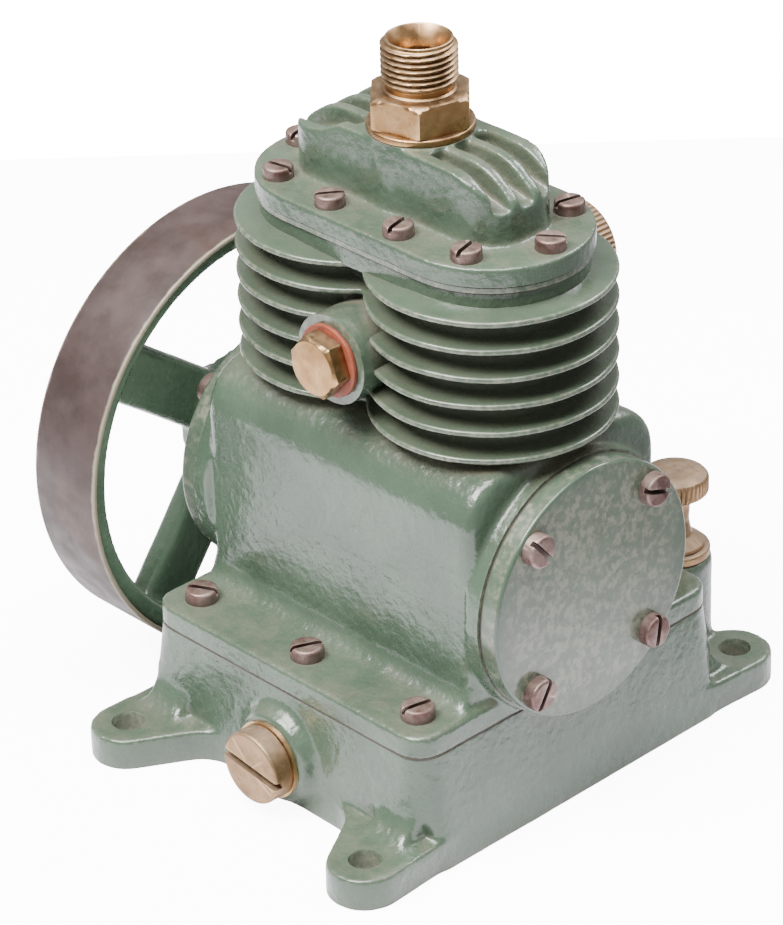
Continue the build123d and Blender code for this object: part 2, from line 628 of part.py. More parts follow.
for side, suffix in ((-1, "left"), (1, "right")):
    pin_z = SHAFT_Z - side * THROW
    rod_x = side * CYLINDER_X
    with BuildPart() as connecting_rod:
        with BuildSketch(Plane.YZ.offset(rod_x - ROD_HALF)):
            with Locations((0, pin_z)):
                Circle(BIG_END_R)
            with Locations((0, pin_z + EAR_H / 2)):
                Rectangle(2 * EAR_Y, EAR_H)
            with Locations((0, pin_z - BIG_END_R)):
                Rectangle(4 * BIG_END_R, 2 * BIG_END_R, mode=Mode.SUBTRACT)
        extrude(amount=2 * ROD_HALF)
        with BuildSketch(Plane.YZ.offset(rod_x - SHANK_HALF)):
            with Locations((0, pin_z + ROD_LENGTH)):
                Circle(SMALL_END_R)
            with BuildLine():
                Polyline(
                    (-4.6, pin_z + BIG_END_R - 3),
                    (4.6, pin_z + BIG_END_R - 3),
                    (2.4, pin_z + ROD_LENGTH - 1),
                    (-2.4, pin_z + ROD_LENGTH - 1),
                    close=True,
                )
            make_face()
        extrude(amount=2 * SHANK_HALF)
        with BuildSketch(Plane.YZ.offset(rod_x - ROD_HALF)):
            with Locations((0, pin_z)):
                Circle(PIN_R + FIT)
            with Locations((0, pin_z + ROD_LENGTH)):
                Circle(GUDGEON_R)
        extrude(amount=2 * ROD_HALF, mode=Mode.SUBTRACT)
        with BuildSketch(Plane.XY.offset(pin_z)):
            with Locations((rod_x, -EAR_SCREW_Y), (rod_x, EAR_SCREW_Y)):
                Circle(1.25)
        extrude(amount=EAR_H + 4, mode=Mode.SUBTRACT)
    save(connecting_rod, f"connecting_rod_{suffix}")

    with BuildPart() as rod_cap:
        with BuildSketch(Plane.YZ.offset(rod_x - ROD_HALF)):
            with Locations((0, pin_z)):
                Circle(BIG_END_R)
            with Locations((0, pin_z - EAR_H / 2)):
                Rectangle(2 * EAR_Y, EAR_H)
            with Locations((0, pin_z + BIG_END_R)):
                Rectangle(4 * BIG_END_R, 2 * BIG_END_R, mode=Mode.SUBTRACT)
            with Locations((0, pin_z)):
                Circle(PIN_R + FIT, mode=Mode.SUBTRACT)
        extrude(amount=2 * ROD_HALF)
        with BuildSketch(Plane.XY.offset(pin_z - BIG_END_R + 1)):
            with Locations((rod_x, 0)):
                Rectangle(5, 1.6)
        extrude(amount=-18)
        with BuildSketch(Plane.XY.offset(pin_z)):
            with Locations((rod_x, -EAR_SCREW_Y), (rod_x, EAR_SCREW_Y)):
                Circle(1.25)
        extrude(amount=-EAR_H - 4, mode=Mode.SUBTRACT)
    save(rod_cap, f"rod_cap_{suffix}")

    with BuildPart() as rod_screws:
        with BuildSketch(Plane.XY.offset(pin_z - EAR_H)):
            with Locations((rod_x, -EAR_SCREW_Y), (rod_x, EAR_SCREW_Y)):
                Circle(1.2)
        extrude(amount=2 * EAR_H)
        with BuildSketch(Plane.XY.offset(pin_z - EAR_H)):
            with Locations((rod_x, -EAR_SCREW_Y), (rod_x, EAR_SCREW_Y)):
                Circle(1.9)
        extrude(amount=-2)
    save(rod_screws, f"rod_screws_{suffix}")

    with BuildPart() as gudgeon_pin:
        with BuildSketch(Plane.YZ.offset(rod_x - GUDGEON_HALF)):
            with Locations((0, pin_z + ROD_LENGTH)):
                Circle(GUDGEON_R)
        extrude(amount=2 * GUDGEON_HALF)
    save(gudgeon_pin, f"gudgeon_pin_{suffix}")

    crown_z = PISTON_TDC - (0 if side < 0 else 2 * THROW)
    with BuildPart() as piston:
        with BuildSketch(Plane.XY.offset(crown_z)):
            with Locations((rod_x, 0)):
                Circle(PISTON_R)
        extrude(amount=-PISTON_H)
        with BuildSketch(Plane.XY.offset(crown_z - PISTON_H)):
            with Locations((rod_x, 0)):
                Circle(PISTON_IN_R)
        extrude(amount=PISTON_H - CROWN_T, mode=Mode.SUBTRACT)
        for level in ring_levels:
            with BuildSketch(Plane.XY.offset(crown_z - level)):
                with Locations((rod_x, 0)):
                    Circle(PISTON_R + 1)
                    Circle(PISTON_R - RING_DEPTH, mode=Mode.SUBTRACT)
            extrude(amount=-RING_T, mode=Mode.SUBTRACT)
    save(piston, f"piston_{suffix}")

    with BuildPart() as piston_rings:
        for level in ring_levels:
            with BuildSketch(Plane.XY.offset(crown_z - level)):
                with Locations((rod_x, 0)):
                    Circle(BORE_R - FIT)
                    Circle(PISTON_R - RING_DEPTH + 0.1, mode=Mode.SUBTRACT)
            extrude(amount=-RING_T)
    save(piston_rings, f"piston_rings_{suffix}")

# ---------------------------------------------------------------- valve plate, reeds and gaskets
PORT_R = 2.2
port_points = [(sx * CYLINDER_X, sy * 5.0) for sx in (-1, 1) for sy in (-1, 1)]
passage_points = [(0, -17.8), (0, 17.8)]

for name, z in (("lower_head_gasket", DECK_Z), ("upper_head_gasket", PLATE_Z + PLATE_T)):
    with BuildPart() as head_gasket:
        with BuildSketch(Plane.XY.offset(z)):
            obround(HEAD_ARC_X, HEAD_R - 0.5)
            with Locations((-CYLINDER_X, 0), (CYLINDER_X, 0)):
                Circle(13.2, mode=Mode.SUBTRACT)
            with Locations(*head_screw_points):
                Circle(CLEAR_R, mode=Mode.SUBTRACT)
            with Locations(*passage_points):
                Circle(2.2, mode=Mode.SUBTRACT)
        extrude(amount=HEAD_GASKET_T)
    save(head_gasket, name)

with BuildPart() as valve_plate:
    with BuildSketch(Plane.XY.offset(PLATE_Z)):
        obround(HEAD_ARC_X, HEAD_R - 0.3)
        with Locations(*head_screw_points):
            Circle(CLEAR_R, mode=Mode.SUBTRACT)
        with Locations(*port_points):
            Circle(PORT_R, mode=Mode.SUBTRACT)
        with Locations(*passage_points):
            Circle(2.2, mode=Mode.SUBTRACT)
        with Locations(*[(x + 7.5, y) for x, y in port_points]):
            Circle(1.0, mode=Mode.SUBTRACT)
    extrude(amount=PLATE_T)
save(valve_plate, "valve_plate")

REED_T = 0.25
reed_sets = (
    ("suction_reeds", 5.0, PLATE_Z - REED_T),
    ("delivery_reeds", -5.0, PLATE_Z + PLATE_T),
)
for name, y, z in reed_sets:
    with BuildPart() as reeds:
        with BuildSketch(Plane.XY.offset(z)):
            with Locations((-CYLINDER_X + 2.5, y), (CYLINDER_X + 2.5, y)):
                SlotOverall(16.0, 5.6)
            with Locations((-CYLINDER_X + 7.5, y), (CYLINDER_X + 7.5, y)):
                Circle(1.0, mode=Mode.SUBTRACT)
        extrude(amount=REED_T)
    save(reeds, name)

with BuildPart() as reed_rivets:
    for x, y in port_points:
        low = PLATE_Z - (REED_T if y > 0 else 0)
        high = PLATE_Z + PLATE_T + (0 if y > 0 else REED_T)
        with BuildSketch(Plane.XY.offset(low)):
            with Locations((x + 7.5, y)):
                Circle(1.0)
        extrude(amount=high - low)
        head_z = low if y > 0 else high
        with BuildSketch(Plane.XY.offset(head_z)):
            with Locations((x + 7.5, y)):
                Circle(1.7)
        extrude(amount=-0.25 if y > 0 else 0.6)
save(reed_rivets, "reed_rivets")

# ---------------------------------------------------------------- cylinder head
groove_w = RIB_PITCH - RIB_T
CHAMBER_X = 30.0
with BuildPart() as cylinder_head:
    # ribbed tower: an arch seen from the front, cut to the round-ended plan of the tower
    with BuildSketch(Plane.XZ.offset(-TOWER_Y)):
        with BuildLine():
            Polyline(
                (-ARCH_FLAT_X, ARCH_TOP_Z),
                (ARCH_FLAT_X, ARCH_TOP_Z),
            )
            for sx in (-1, 1):
                Spline(
                    (sx * ARCH_FLAT_X, ARCH_TOP_Z),
                    (sx * (TOWER_X - 6.5), ARCH_TOP_Z - 1.8),
                    (sx * (TOWER_X - 2.2), ARCH_TOP_Z - 4.8),
                    (sx * TOWER_X, NOSE_Z),
                    tangents=((sx, 0), (0, -1)),
                )
            Polyline((-TOWER_X, NOSE_Z), (-TOWER_X, HEAD_TOP - 2), (TOWER_X, HEAD_TOP - 2), (TOWER_X, NOSE_Z))
        make_face()
    extrude(amount=2 * TOWER_Y)
    with BuildSketch(Plane.XY.offset(HEAD_TOP - 2)):
        RectangleRounded(2 * TOWER_X, 2 * TOWER_Y, 9)
    extrude(amount=40, mode=Mode.INTERSECT)
    # three grooves at each end, swept down towards the tips
    for sx in (-1, 1):
        for k in (-1, 0, 1):
            with BuildSketch(Plane.XZ.offset(-k * RIB_PITCH - groove_w / 2)):
                with BuildLine():
                    Polyline(
                        (sx * 11.0, RIB_TOP_Z + 3),
                        (sx * 11.0, RIB_TOP_Z - 3.5),
                        (sx * 19.0, RIB_TOP_Z - 4.8),
                        (sx * 26.0, RIB_TOP_Z - 7.4),
                        (sx * 29.5, RIB_TOP_Z - 8.2),
                        (sx * 36.0, RIB_TOP_Z - 8.6),
                        (sx * 36.0, RIB_TOP_Z + 3),
                        close=True,
                    )
                make_face()
            extrude(amount=groove_w, mode=Mode.SUBTRACT)
    # the front wall drops below the ribs towards its left end
    with BuildSketch(Plane.XZ.offset(TOWER_Y)):
        with BuildLine():
            Polyline(
                (-TOWER_X, FRONT_LOW_Z),
                (-24.0, FRONT_LOW_Z),
                (-19.0, FRONT_LOW_Z + 0.9),
                (-13.0, RIB_TOP_Z),
                (-TOWER_X, RIB_TOP_Z),
                close=True,
            )
        make_face()
    extrude(amount=RIB_PITCH + groove_w / 2 - TOWER_Y, mode=Mode.SUBTRACT)
    # flange and the seat of the outlet adapter
    with BuildSketch(Plane.XY.offset(HEAD_Z)):
        obround(HEAD_ARC_X, HEAD_R)
    extrude(amount=HEAD_FLANGE_T)
    with BuildSketch(Plane.XY.offset(HEAD_TOP - 1)):
        Circle(SEAT_R)
    extrude(amount=RIB_TOP_Z - HEAD_TOP + 1)
    # delivery chamber over both cylinders, and the drilling up to the outlet
    with BuildSketch(Plane.XY.offset(HEAD_Z)):
        with Locations((0, -4.2)):
            Rectangle(2 * CHAMBER_X, 7.4)
    extrude(amount=6.5, mode=Mode.SUBTRACT)
    with BuildSketch(Plane.XY.offset(HEAD_Z)):
        with Locations((0, 4.7)):
            Rectangle(2 * CHAMBER_X, 6.6)
    extrude(amount=6.5, mode=Mode.SUBTRACT)
    # suction passage, kept inside the flange's thickness behind the tower
    with BuildSketch(Plane.XY.offset(HEAD_Z)):
        with Locations((0, 11)):
            Rectangle(5, 18)
    extrude(amount=HEAD_FLANGE_T - 1.5, mode=Mode.SUBTRACT)
    with BuildSketch(Plane.XY.offset(HEAD_Z + 2)):
        with Locations((0, -3.0)):
            Circle(3.4)
    extrude(amount=12, mode=Mode.SUBTRACT)
    with BuildSketch(Plane.XY.offset(RIB_TOP_Z)):
        Circle(7.0)
    extrude(amount=-11, mode=Mode.SUBTRACT)
    with BuildSketch(Plane.XY.offset(HEAD_Z)):
        with Locations(*head_screw_points):
            Circle(CLEAR_R)
    extrude(amount=HEAD_FLANGE_T, mode=Mode.SUBTRACT)
save(cylinder_head, "cylinder_head")

head_screw = cheese_screw(3.45, 2.8, 13)
with BuildPart() as head_screws:
    for index, (x, y) in enumerate(head_screw_points):
        with Locations((x, y, HEAD_TOP)):
            add(head_screw, rotation=(0, 0, 15 + 73 * index))
save(head_screws, "head_screws")

# ---------------------------------------------------------------- outlet adapter, 3/8 inch pipe thread
THREAD_R = 8.33
THREAD_PITCH = 1.337
THREAD_DEPTH = 0.85
THREAD_COUNT = 8
OUTLET_WASHER_T = 1.6
OUTLET_HEX_T = 7.4
WASHER_TOP = RIB_TOP_Z + OUTLET_WASHER_T
HEX_TOP = WASHER_TOP + OUTLET_HEX_T
OUTLET_TOP = 168.6
THREAD_TOP = OUTLET_TOP - 0.5

with BuildPart() as outlet_washer:
    with BuildSketch(Plane.XY.offset(RIB_TOP_Z)):
        Circle(11.8)
        Circle(7.2, mode=Mode.SUBTRACT)
    extrude(amount=OUTLET_WASHER_T)
save(outlet_washer, "outlet_washer")

thread_profile = [(4.5, WASHER_TOP - 1), (THREAD_R - THREAD_DEPTH, HEX_TOP)]
for turn in range(THREAD_COUNT):
    z = THREAD_TOP - (THREAD_COUNT - turn) * THREAD_PITCH
    thread_profile.append((THREAD_R - THREAD_DEPTH, z))
    thread_profile.append((THREAD_R, z + THREAD_PITCH * 0.5))
thread_profile.append((THREAD_R - THREAD_DEPTH, THREAD_TOP))
thread_profile.append((THREAD_R - THREAD_DEPTH - 0.2, OUTLET_TOP))
thread_profile.append((6.9, OUTLET_TOP))
thread_profile.append((4.5, OUTLET_TOP - 4.2))

with BuildPart() as outlet_adapter:
    with BuildSketch(Plane.XY.offset(WASHER_TOP)):
        RegularPolygon(10.4, 6, major_radius=False, rotation=15)
    extrude(amount=OUTLET_HEX_T)
    with BuildSketch(Plane.XZ):
        with BuildLine():
            Polyline((0, WASHER_TOP - 1), (13, WASHER_TOP - 1), (13, HEX_TOP - 1.6), (10.2, HEX_TOP), (0, HEX_TOP), close=True)
        make_face()
    revolve(axis=Axis.Z, mode=Mode.INTERSECT)
    with BuildSketch(Plane.XZ):
        with BuildLine():
            Polyline(*thread_profile, close=True)
        make_face()
    revolve(axis=Axis.Z)
    with BuildSketch(Plane.XY.offset(WASHER_TOP)):
        Circle(7.0 - FIT)
    extrude(amount=-OUTLET_WASHER_T - 9)
    with BuildSketch(Plane.XY.offset(RIB_TOP_Z - 10)):
        Circle(4.5)
    extrude(amount=OUTLET_TOP - RIB_TOP_Z + 8, mode=Mode.SUBTRACT)
save(outlet_adapter, "outlet_adapter")

# ---------------------------------------------------------------- front port plug
PORT_WASHER_T = 1.2
PORT_HEX_T = 4.6
with BuildPart() as port_plug_washer:
    with BuildSketch(side_plane(-PORT_BOSS_Y, PORT_Z)):
        Circle(8.4)
        Circle(5.1, mode=Mode.SUBTRACT)
    extrude(amount=-PORT_WASHER_T)
save(port_plug_washer, "port_plug_washer")

port_hex_y = -PORT_BOSS_Y - PORT_WASHER_T
with BuildPart() as port_plug:
    with BuildSketch(side_plane(port_hex_y, PORT_Z)):
        RegularPolygon(6.5, 6, major_radius=False, rotation=10)
    extrude(amount=-PORT_HEX_T)
    with BuildSketch(side_plane(port_hex_y, PORT_Z)):
        Circle(5.0 - FIT)
    extrude(amount=9)
save(port_plug, "port_plug")

# ---------------------------------------------------------------- intake filter on the rear boss
INTAKE_BODY_Y = 43.0
INTAKE_CAP_Y = 50.0
with BuildPart() as intake_filter_body:
    with BuildSketch(side_plane(PORT_BOSS_Y, PORT_Z)):
        Circle(9.2)
    extrude(amount=INTAKE_BODY_Y - PORT_BOSS_Y)
    with BuildSketch(side_plane(PORT_BOSS_Y, PORT_Z)):
        Circle(5.0 - FIT)
    extrude(amount=-9)
    with BuildSketch(side_plane(PORT_BOSS_Y + 3, PORT_Z)):
        Circle(7.6)
    extrude(amount=20, mode=Mode.SUBTRACT)
    with BuildSketch(side_plane(PORT_BOSS_Y - 10, PORT_Z)):
        Circle(3.2)
    extrude(amount=20, mode=Mode.SUBTRACT)
save(intake_filter_body, "intake_filter_body")

with BuildPart() as intake_filter_felt:
    with BuildSketch(side_plane(PORT_BOSS_Y + 3, PORT_Z)):
        Circle(7.5)
        Circle(4.0, mode=Mode.SUBTRACT)
    extrude(amount=INTAKE_BODY_Y - PORT_BOSS_Y - 3.4)
save(intake_filter_felt, "intake_filter_felt")

with BuildPart() as intake_filter_cap:
    with BuildSketch(side_plane(INTAKE_BODY_Y, PORT_Z)):
        Circle(10.9)
    extrude(amount=INTAKE_CAP_Y - INTAKE_BODY_Y)
    fillet(intake_filter_cap.edges().group_by(Axis.Y)[-1], radius=1.0)
    with BuildSketch(side_plane(INTAKE_BODY_Y, PORT_Z)):
        with PolarLocations(6.2, 8):
            Circle(1.3)
    extrude(amount=INTAKE_CAP_Y - INTAKE_BODY_Y, mode=Mode.SUBTRACT)
save(intake_filter_cap, "intake_filter_cap")
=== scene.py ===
import json
import math
import random

import bmesh
import bpy
from mathutils import Matrix, Vector, noise


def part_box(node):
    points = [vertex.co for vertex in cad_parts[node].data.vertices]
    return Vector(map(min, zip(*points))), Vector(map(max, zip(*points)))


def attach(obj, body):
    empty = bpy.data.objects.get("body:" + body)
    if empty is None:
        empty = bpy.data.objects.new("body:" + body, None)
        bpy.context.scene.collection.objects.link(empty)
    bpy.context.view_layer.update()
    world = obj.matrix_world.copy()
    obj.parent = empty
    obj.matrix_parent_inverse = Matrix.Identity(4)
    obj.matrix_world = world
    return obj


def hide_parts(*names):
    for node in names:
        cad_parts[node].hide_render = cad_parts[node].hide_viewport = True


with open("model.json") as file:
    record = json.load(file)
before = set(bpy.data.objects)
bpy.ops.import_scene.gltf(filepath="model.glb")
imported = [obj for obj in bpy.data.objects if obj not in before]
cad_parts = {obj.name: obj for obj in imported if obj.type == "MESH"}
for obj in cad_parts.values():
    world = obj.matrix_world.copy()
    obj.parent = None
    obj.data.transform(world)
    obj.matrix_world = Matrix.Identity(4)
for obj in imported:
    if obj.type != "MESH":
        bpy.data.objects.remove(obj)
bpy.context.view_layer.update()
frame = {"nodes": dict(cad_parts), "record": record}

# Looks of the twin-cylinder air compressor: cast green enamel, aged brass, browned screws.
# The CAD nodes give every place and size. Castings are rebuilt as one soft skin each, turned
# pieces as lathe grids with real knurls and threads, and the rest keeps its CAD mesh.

MM = 0.001
TAU = 2 * math.pi
RNG = random.Random(7)


# ---------------------------------------------------------------- places read from the CAD, in mm
def cad(node):
    """Lowest and highest corner of a CAD node, in mm."""
    low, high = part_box(node)
    return Vector(low) / MM, Vector(high) / MM


def middle(node):
    low, high = cad(node)
    return (low + high) / 2


SHAFT_Z = middle("flywheel").z
CASE_LOW, CASE_HIGH = cad("crankcase_block")
JOINT_Z = CASE_LOW.z
DECK_Z = CASE_HIGH.z
PAD_X = cad("bearing_cover_gasket")[0].x
SUMP_TOP = cad("base_gasket")[0].z
FLANGE_X, FLANGE_Y = cad("base_gasket")[1].xy
CYLINDER_X = middle("cylinder_liner_right").x
LINER_R = cad("cylinder_liner_right")[1].y
COVER_FACE_X = cad("bearing_cover")[1].x
PORT = middle("port_plug_washer")
PORT_FACE_Y = cad("port_plug_washer")[1].y
HEAD_LOW, HEAD_HIGH = cad("cylinder_head")

# ---------------------------------------------------------------- sizes of the castings, in mm
FLANGE_T = 5.0
FLANGE_CORNER = 6.0
BODY_X, BODY_Y, BODY_TOP = 42.0, 29.0, 86.5
SHOULDER_R = 12.0
ROOT_FILLET = 5.5
PAD_R = 30.4
PAD_BORE_R = 22.0
BARREL_R = 20.5
FIN_R = 27.4
FIN_LOW_Z, FIN_PITCH, FIN_COUNT = 89.0, 6.5, 6
FIN_TIP_T = 1.4
PORT_BOSS_R = 10.3
DECK_ARC_X = 21.0
DECK_R = 21.1
COVER_SCREW = 17.9
FLANGE_SCREWS = [(x, y) for x in (-35.0, 0.0, 35.0) for y in (-38.5, 38.5)]
HEAD_SCREW_R = 17.3
HEAD_FLANGE_TOP = HEAD_LOW.z + 4.3

# ---------------------------------------------------------------- camera
CAMERA_AZ = math.radians(46.96)
CAMERA_EL = math.radians(29.54)
CAMERA_ROLL = math.radians(-1.7)
CAMERA_DISTANCE = 913.5
CAMERA_LENS = 160.2
AIM_SIDE = -8.35
AIM_HEIGHT = 66.0

back = Vector((
    math.sin(CAMERA_AZ) * math.cos(CAMERA_EL),
    -math.cos(CAMERA_AZ) * math.cos(CAMERA_EL),
    math.sin(CAMERA_EL),
))
level = Vector((math.cos(CAMERA_AZ), math.sin(CAMERA_AZ), 0))
upward = back.cross(level)
right = math.cos(CAMERA_ROLL) * level + math.sin(CAMERA_ROLL) * upward
upright = back.cross(right)
eye = Vector((0, 0, AIM_HEIGHT)) + AIM_SIDE * level + CAMERA_DISTANCE * back
camera = bpy.data.objects.new("camera", bpy.data.cameras.new("camera"))
camera.data.sensor_width = 36
camera.data.lens = CAMERA_LENS
camera.matrix_world = Matrix.Translation(eye * MM) @ Matrix((right, upright, back)).transposed().to_4x4()
bpy.context.scene.collection.objects.link(camera)
bpy.context.scene.camera = camera


# ---------------------------------------------------------------- mesh helpers, all in mm
def new_object(name, bm, material=None, sharp=35):
    """Turns a bmesh in mm into a finished object in metres."""
    bmesh.ops.remove_doubles(bm, verts=bm.verts, dist=1e-3)
    bmesh.ops.recalc_face_normals(bm, faces=bm.faces)
    mesh = bpy.data.meshes.new(name)
    bm.to_mesh(mesh)
    bm.free()
    mesh.transform(Matrix.Scale(MM, 4))
    mesh.shade_smooth()
    mesh.set_sharp_from_angle(angle=math.radians(sharp))
    obj = bpy.data.objects.new(name, mesh)
    bpy.context.scene.collection.objects.link(obj)
    if material:
        mesh.materials.append(material)
    return obj


def as_bmesh(mesh):
    """A bmesh in mm from a mesh in metres."""
    bm = bmesh.new()
    bm.from_mesh(mesh)
    bmesh.ops.scale(bm, vec=(1 / MM,) * 3, verts=bm.verts)
    return bm


def finish_piece(obj, body, slot, *nodes):
    """Rides a piece on its body and lets it stand for its CAD nodes."""
    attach(obj, body)
    if nodes:
        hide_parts(*nodes)
    return obj


def apply_modifiers(obj):
    """Bakes an object's modifiers into its mesh."""
    bpy.context.view_layer.update()
    graph = bpy.context.evaluated_depsgraph_get()
    done = bpy.data.meshes.new_from_object(obj.evaluated_get(graph))
    old = obj.data
    obj.modifiers.clear()
    obj.data = done
    bpy.data.meshes.remove(old)
    return obj


def arc(centre, radius, start, end, steps):
    """Points of an arc in the plane, angles in degrees."""
    angles = [math.radians(start + (end - start) * k / steps) for k in range(steps + 1)]
    return [(centre[0] + radius * math.cos(a), centre[1] + radius * math.sin(a)) for a in angles]


def rounded(points, steps=5):
    """Closed outline from (x, y, corner radius) points."""
    outline = []
    for i, (x, y, radius) in enumerate(points):
        here = Vector((x, y))
        before = Vector(points[i - 1][:2]) - here
        after = Vector(points[(i + 1) % len(points)][:2]) - here
        if radius <= 0:
            outline.append((x, y))
            continue
        before.normalize()
        after.normalize()
        half = before.angle(after) / 2
        centre = here + (before + after).normalized() * radius / math.sin(half)
        first = here + before * radius / math.tan(half) - centre
        last = here + after * radius / math.tan(half) - centre
        start = math.degrees(math.atan2(first.y, first.x))
        turn = (math.degrees(math.atan2(last.y, last.x)) - start + 180) % 360 - 180
        outline += arc(centre, radius, start, start + turn, steps)
    return outline


def lathe(bm, profile, centre, axis, segments=96, shape=None, start=None):
    """Turns a closed (radius, height) outline about an axis.

    shape(radius, height, angle) may change a radius, and start is the direction of angle 0.
    """
    along = Vector(axis).normalized()
    side = Vector(start) if start else Vector((0, 0, 1) if abs(along.z) < 0.9 else (1, 0, 0))
    across = along.cross(side)
    rings = []
    for radius, height in profile:
        base = Vector(centre) + along * height
        if radius < 1e-6:
            rings.append([bm.verts.new(base)])
            continue
        ring = []
        for k in range(segments):
            angle = TAU * k / segments
            r = shape(radius, height, angle) if shape else radius
            ring.append(bm.verts.new(base + r * (math.cos(angle) * side + math.sin(angle) * across)))
        rings.append(ring)
    for ring, other in zip(rings, rings[1:] + rings[:1]):
        if len(ring) == 1 and len(other) == 1:
            continue
        for k in range(segments):
            n = (k + 1) % segments
            corners = [ring[k % len(ring)], other[k % len(other)], other[n % len(other)], ring[n % len(ring)]]
            bm.faces.new(list(dict.fromkeys(corners)))
    return bm


def turned(name, profile, centre, axis, material=None, segments=96, shape=None, start=None, steps=5):
    """A lathe piece from (radius, height, corner radius) points."""
    bm = bmesh.new()
    lathe(bm, rounded(profile, steps), centre, axis, segments, shape, start)
    return new_object(name, bm, material)


def loft(bm, rings):
    """Joins rings of equal length into a closed skin, capped at both ends."""
    made = [[bm.verts.new(p) for p in ring] for ring in rings]
    for low, high in zip(made, made[1:]):
        for k in range(len(low)):
            n = (k + 1) % len(low)
            bm.faces.new((low[k], low[n], high[n], high[k]))
    bm.faces.new(made[0])
    bm.faces.new(made[-1])


def upright_place(u, v, h):
    return (u, v, h)


def along_x(u, v, h):
    return (h, u, v)


def eased_prism(bm, outline, low, high, ease_low=0.0, ease_high=0.0, place=upright_place, steps=4):
    """Prism from low to high with rounded end edges. outline(inset) gives its section as (u, v) points."""
    levels = []
    for k in range(steps + 1 if ease_low else 1):
        angle = TAU / 4 * k / steps
        levels.append((low + ease_low * (1 - math.cos(angle)), ease_low * (1 - math.sin(angle))))
    for k in range(steps + 1 if ease_high else 1):
        angle = TAU / 4 * k / steps if ease_high else TAU / 4
        levels.append((high - ease_high * (1 - math.sin(angle)), ease_high * (1 - math.cos(angle))))
    loft(bm, [[place(u, v, h) for u, v in outline(inset)] for h, inset in levels])


def round_rect(half_x, half_y, radius):
    """Section function of a rectangle with round corners."""
    def outline(inset):
        x, y, r = half_x - inset, half_y - inset, max(radius - inset, 0.3)
        return rounded([(x, -y, r), (x, y, r), (-x, y, r), (-x, -y, r)], 6)
    return outline


def obround(half_x, radius):
    """Section function of two arcs about x = +-half_x joined by straight sides."""
    def outline(inset):
        r = radius - inset
        return arc((half_x, 0), r, -90, 90, 24) + arc((-half_x, 0), r, 90, 270, 24)
    return outline


def rod(bm, start, end, radius, end_radius=None, ease=0.0, segments=72):
    """Closed cylinder or cone from start to end, its far edge rounded."""
    start, end = Vector(start), Vector(end)
    length = (end - start).length
    top = radius if end_radius is None else end_radius
    profile = rounded([(0, 0, 0), (radius, 0, 0), (top, length, ease), (0, length, 0)], 4)
    lathe(bm, profile, start, end - start, segments)


def box(bm, low, high):
    """Closed box between two corners."""
    middle_point = (Vector(low) + Vector(high)) / 2
    size = Vector(high) - Vector(low)
    bmesh.ops.create_cube(bm, size=1, matrix=Matrix.Translation(middle_point) @ Matrix.Diagonal((*size, 1)))


def cutter(*shapes):
    """One closed shape per entry of (function, arguments...), each in a bmesh of its own."""
    made = []
    for build, *arguments in shapes:
        bm = bmesh.new()
        build(bm, *arguments)
        made.append(bm)
    return made


def carve(obj, cutters, sharp=40):
    """Cuts closed shapes out of a piece, with crisp machined edges."""
    tools = []
    for bm in cutters:
        tool = new_object("cutter", bm)
        cut = obj.modifiers.new("carve", "BOOLEAN")
        cut.operation = "DIFFERENCE"
        cut.solver = "MANIFOLD"
        cut.object = tool
        tools.append(tool)
    apply_modifiers(obj)
    for tool in tools:
        bpy.data.meshes.remove(tool.data)
    obj.data.materials.clear()
    obj.data.shade_smooth()
    obj.data.set_sharp_from_angle(angle=math.radians(sharp))
    return obj


def bevel(obj, width, segments=2, angle=32):
    """Breaks a piece's sharp edges."""
    ease = obj.modifiers.new("bevel", "BEVEL")
    ease.width = width * MM
    ease.segments = segments
    ease.limit_method = "ANGLE"
    ease.angle_limit = math.radians(angle)
    apply_modifiers(obj)
    obj.data.shade_smooth()
    obj.data.set_sharp_from_angle(angle=math.radians(45))
    return obj


def flat_faces(obj):
    """Shades large flat faces flat, so that only the narrow broken edges are round."""
    weigh = obj.modifiers.new("weigh", "WEIGHTED_NORMAL")
    weigh.keep_sharp = True
    return apply_modifiers(obj)


def cast_skin(name, bm, voxel, passes, grain, seed=0):
    """One skin over overlapping closed shapes: fused, softened, and grained like a sand casting."""
    obj = new_object(name, bm)
    fuse = obj.modifiers.new("fuse", "REMESH")
    fuse.mode = "VOXEL"
    fuse.voxel_size = voxel * MM
    soften = obj.modifiers.new("soften", "SMOOTH")
    soften.factor = 0.5
    soften.iterations = passes
    apply_modifiers(obj)
    bm = as_bmesh(obj.data)
    bpy.data.meshes.remove(obj.data)
    bm.normal_update()
    shift = Vector((7.1, 3.3, 1.7)) * seed
    moves = [
        v.normal * grain * (noise.noise(v.co * 0.11 + shift) + 0.45 * noise.noise(v.co * 0.55 + shift))
        for v in bm.verts
    ]
    for v, move in zip(bm.verts, moves):
        v.co += move
    return new_object(name, bm)


